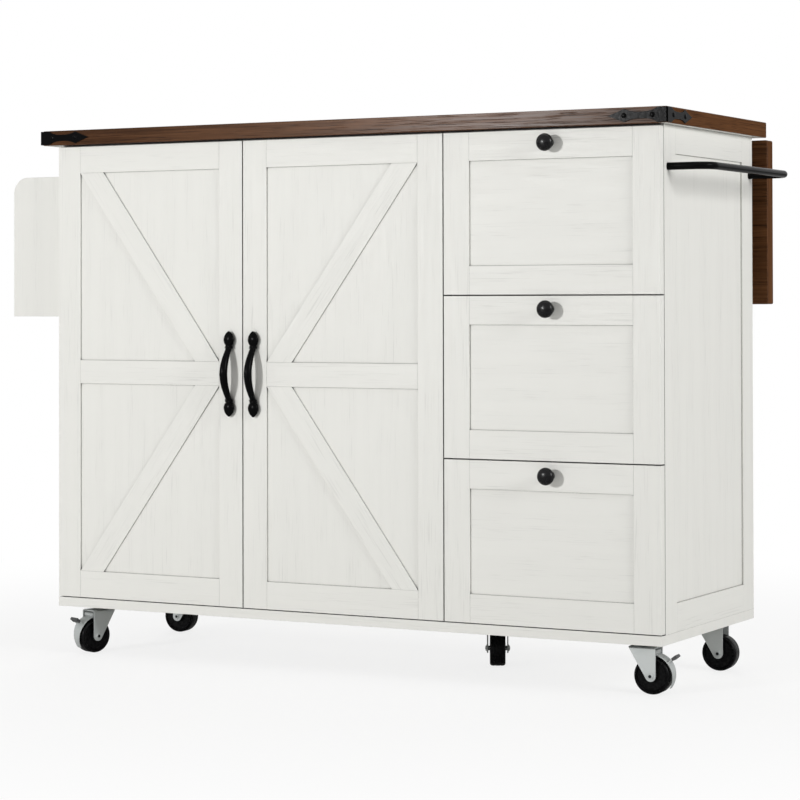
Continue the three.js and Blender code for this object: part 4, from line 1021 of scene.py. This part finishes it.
def camera():
    """The photograph's view: placed from the cabinet's corner, turned and shifted as fitted to it."""
    data = bpy.data.cameras.new("camera")
    data.lens, data.sensor_width = LENS, SENSOR
    data.shift_x, data.shift_y = 0, SHIFT_UP
    data.clip_start, data.clip_end = CLIP
    obj = bpy.data.objects.new("camera", data)
    yaw, pitch, roll = (math.radians(a) for a in YAW_PITCH_ROLL)
    ahead = Vector((-math.sin(yaw) * math.cos(pitch), math.cos(yaw) * math.cos(pitch), math.sin(pitch)))
    level = Vector((math.cos(yaw), math.sin(yaw), 0))
    above = level.cross(ahead)
    right = level * math.cos(roll) + above * math.sin(roll)
    up = above * math.cos(roll) - level * math.sin(roll)
    facing = Matrix(((right.x, up.x, -ahead.x, 0), (right.y, up.y, -ahead.y, 0),
                     (right.z, up.z, -ahead.z, 0), (0, 0, 0, 1)))
    obj.matrix_world = Matrix.Translation(CORNER + Vector(CAMERA_PLACE)) @ facing
    bpy.context.scene.collection.objects.link(obj)
    bpy.context.scene.camera = obj


def lamp(name, place, target, size, power):
    data = bpy.data.lights.new(name, "AREA")
    data.shape, data.size, data.energy = "DISK", size, power
    obj = bpy.data.objects.new(name, data)
    obj.location = place
    obj.rotation_euler = (Vector(target) - Vector(place)).to_track_quat("-Z", "Y").to_euler()
    bpy.context.scene.collection.objects.link(obj)


def lights():
    for settings in LAMPS:
        lamp(*settings)


def world():
    """White where the camera, a reflection or clear glass sees it, and softer as a light."""
    made = bpy.data.worlds.new("world")
    bpy.context.scene.world = made
    made.use_nodes = True
    nodes, links = made.node_tree.nodes, made.node_tree.links
    path = nodes.new("ShaderNodeLightPath")
    seen = path.outputs["Is Camera Ray"]
    for kind in ("Is Glossy Ray", "Is Transmission Ray"):
        either = nodes.new("ShaderNodeMath")
        either.operation = "MAXIMUM"
        links.new(seen, either.inputs[0])
        links.new(path.outputs[kind], either.inputs[1])
        seen = either.outputs["Value"]
    level = nodes.new("ShaderNodeMapRange")
    level.inputs["To Min"].default_value = WORLD_LIGHT
    level.inputs["To Max"].default_value = 1.0
    links.new(seen, level.inputs["Value"])
    back = nodes["Background"]
    back.inputs["Color"].default_value = (1, 1, 1, 1)
    links.new(level.outputs["Result"], back.inputs["Strength"])


def floor():
    """A pale floor that shows as white and keeps a soft shadow."""
    mesh = bpy.data.meshes.new("floor")
    half = FLOOR_HALF
    corners = [(-half, -half, 0), (half, -half, 0), (half, half, 0), (-half, half, 0)]
    mesh.from_pydata(corners, [], [(0, 1, 2, 3)])
    obj = bpy.data.objects.new("floor", mesh)
    bpy.context.scene.collection.objects.link(obj)
    material = bpy.data.materials.new("floor")
    material.use_nodes = True
    nodes, links = material.node_tree.nodes, material.node_tree.links
    nodes.clear()
    matte = nodes.new("ShaderNodeBsdfDiffuse")
    matte.inputs["Color"].default_value = FLOOR_COLOUR
    glow = nodes.new("ShaderNodeEmission")
    reach = nodes.new("ShaderNodeVectorMath")
    reach.operation = "LENGTH"
    links.new(nodes.new("ShaderNodeTexCoord").outputs["Object"], reach.inputs[0])
    fade = nodes.new("ShaderNodeMapRange")
    fade.interpolation_type = "SMOOTHSTEP"
    for key, value in FADE.items():
        fade.inputs[key].default_value = value
    links.new(reach.outputs["Value"], fade.inputs["Value"])
    share = nodes.new("ShaderNodeMath")
    share.operation = "MULTIPLY"
    links.new(fade.outputs["Result"], share.inputs[1])
    links.new(nodes.new("ShaderNodeLightPath").outputs["Is Camera Ray"], share.inputs[0])
    mix = nodes.new("ShaderNodeMixShader")
    links.new(share.outputs["Value"], mix.inputs["Fac"])
    links.new(matte.outputs["BSDF"], mix.inputs[1])
    links.new(glow.outputs["Emission"], mix.inputs[2])
    links.new(mix.outputs["Shader"], nodes.new("ShaderNodeOutputMaterial").inputs["Surface"])
    mesh.materials.append(material)


build()
camera()
lights()
world()
floor()
bpy.context.scene.view_settings.view_transform = "Standard"
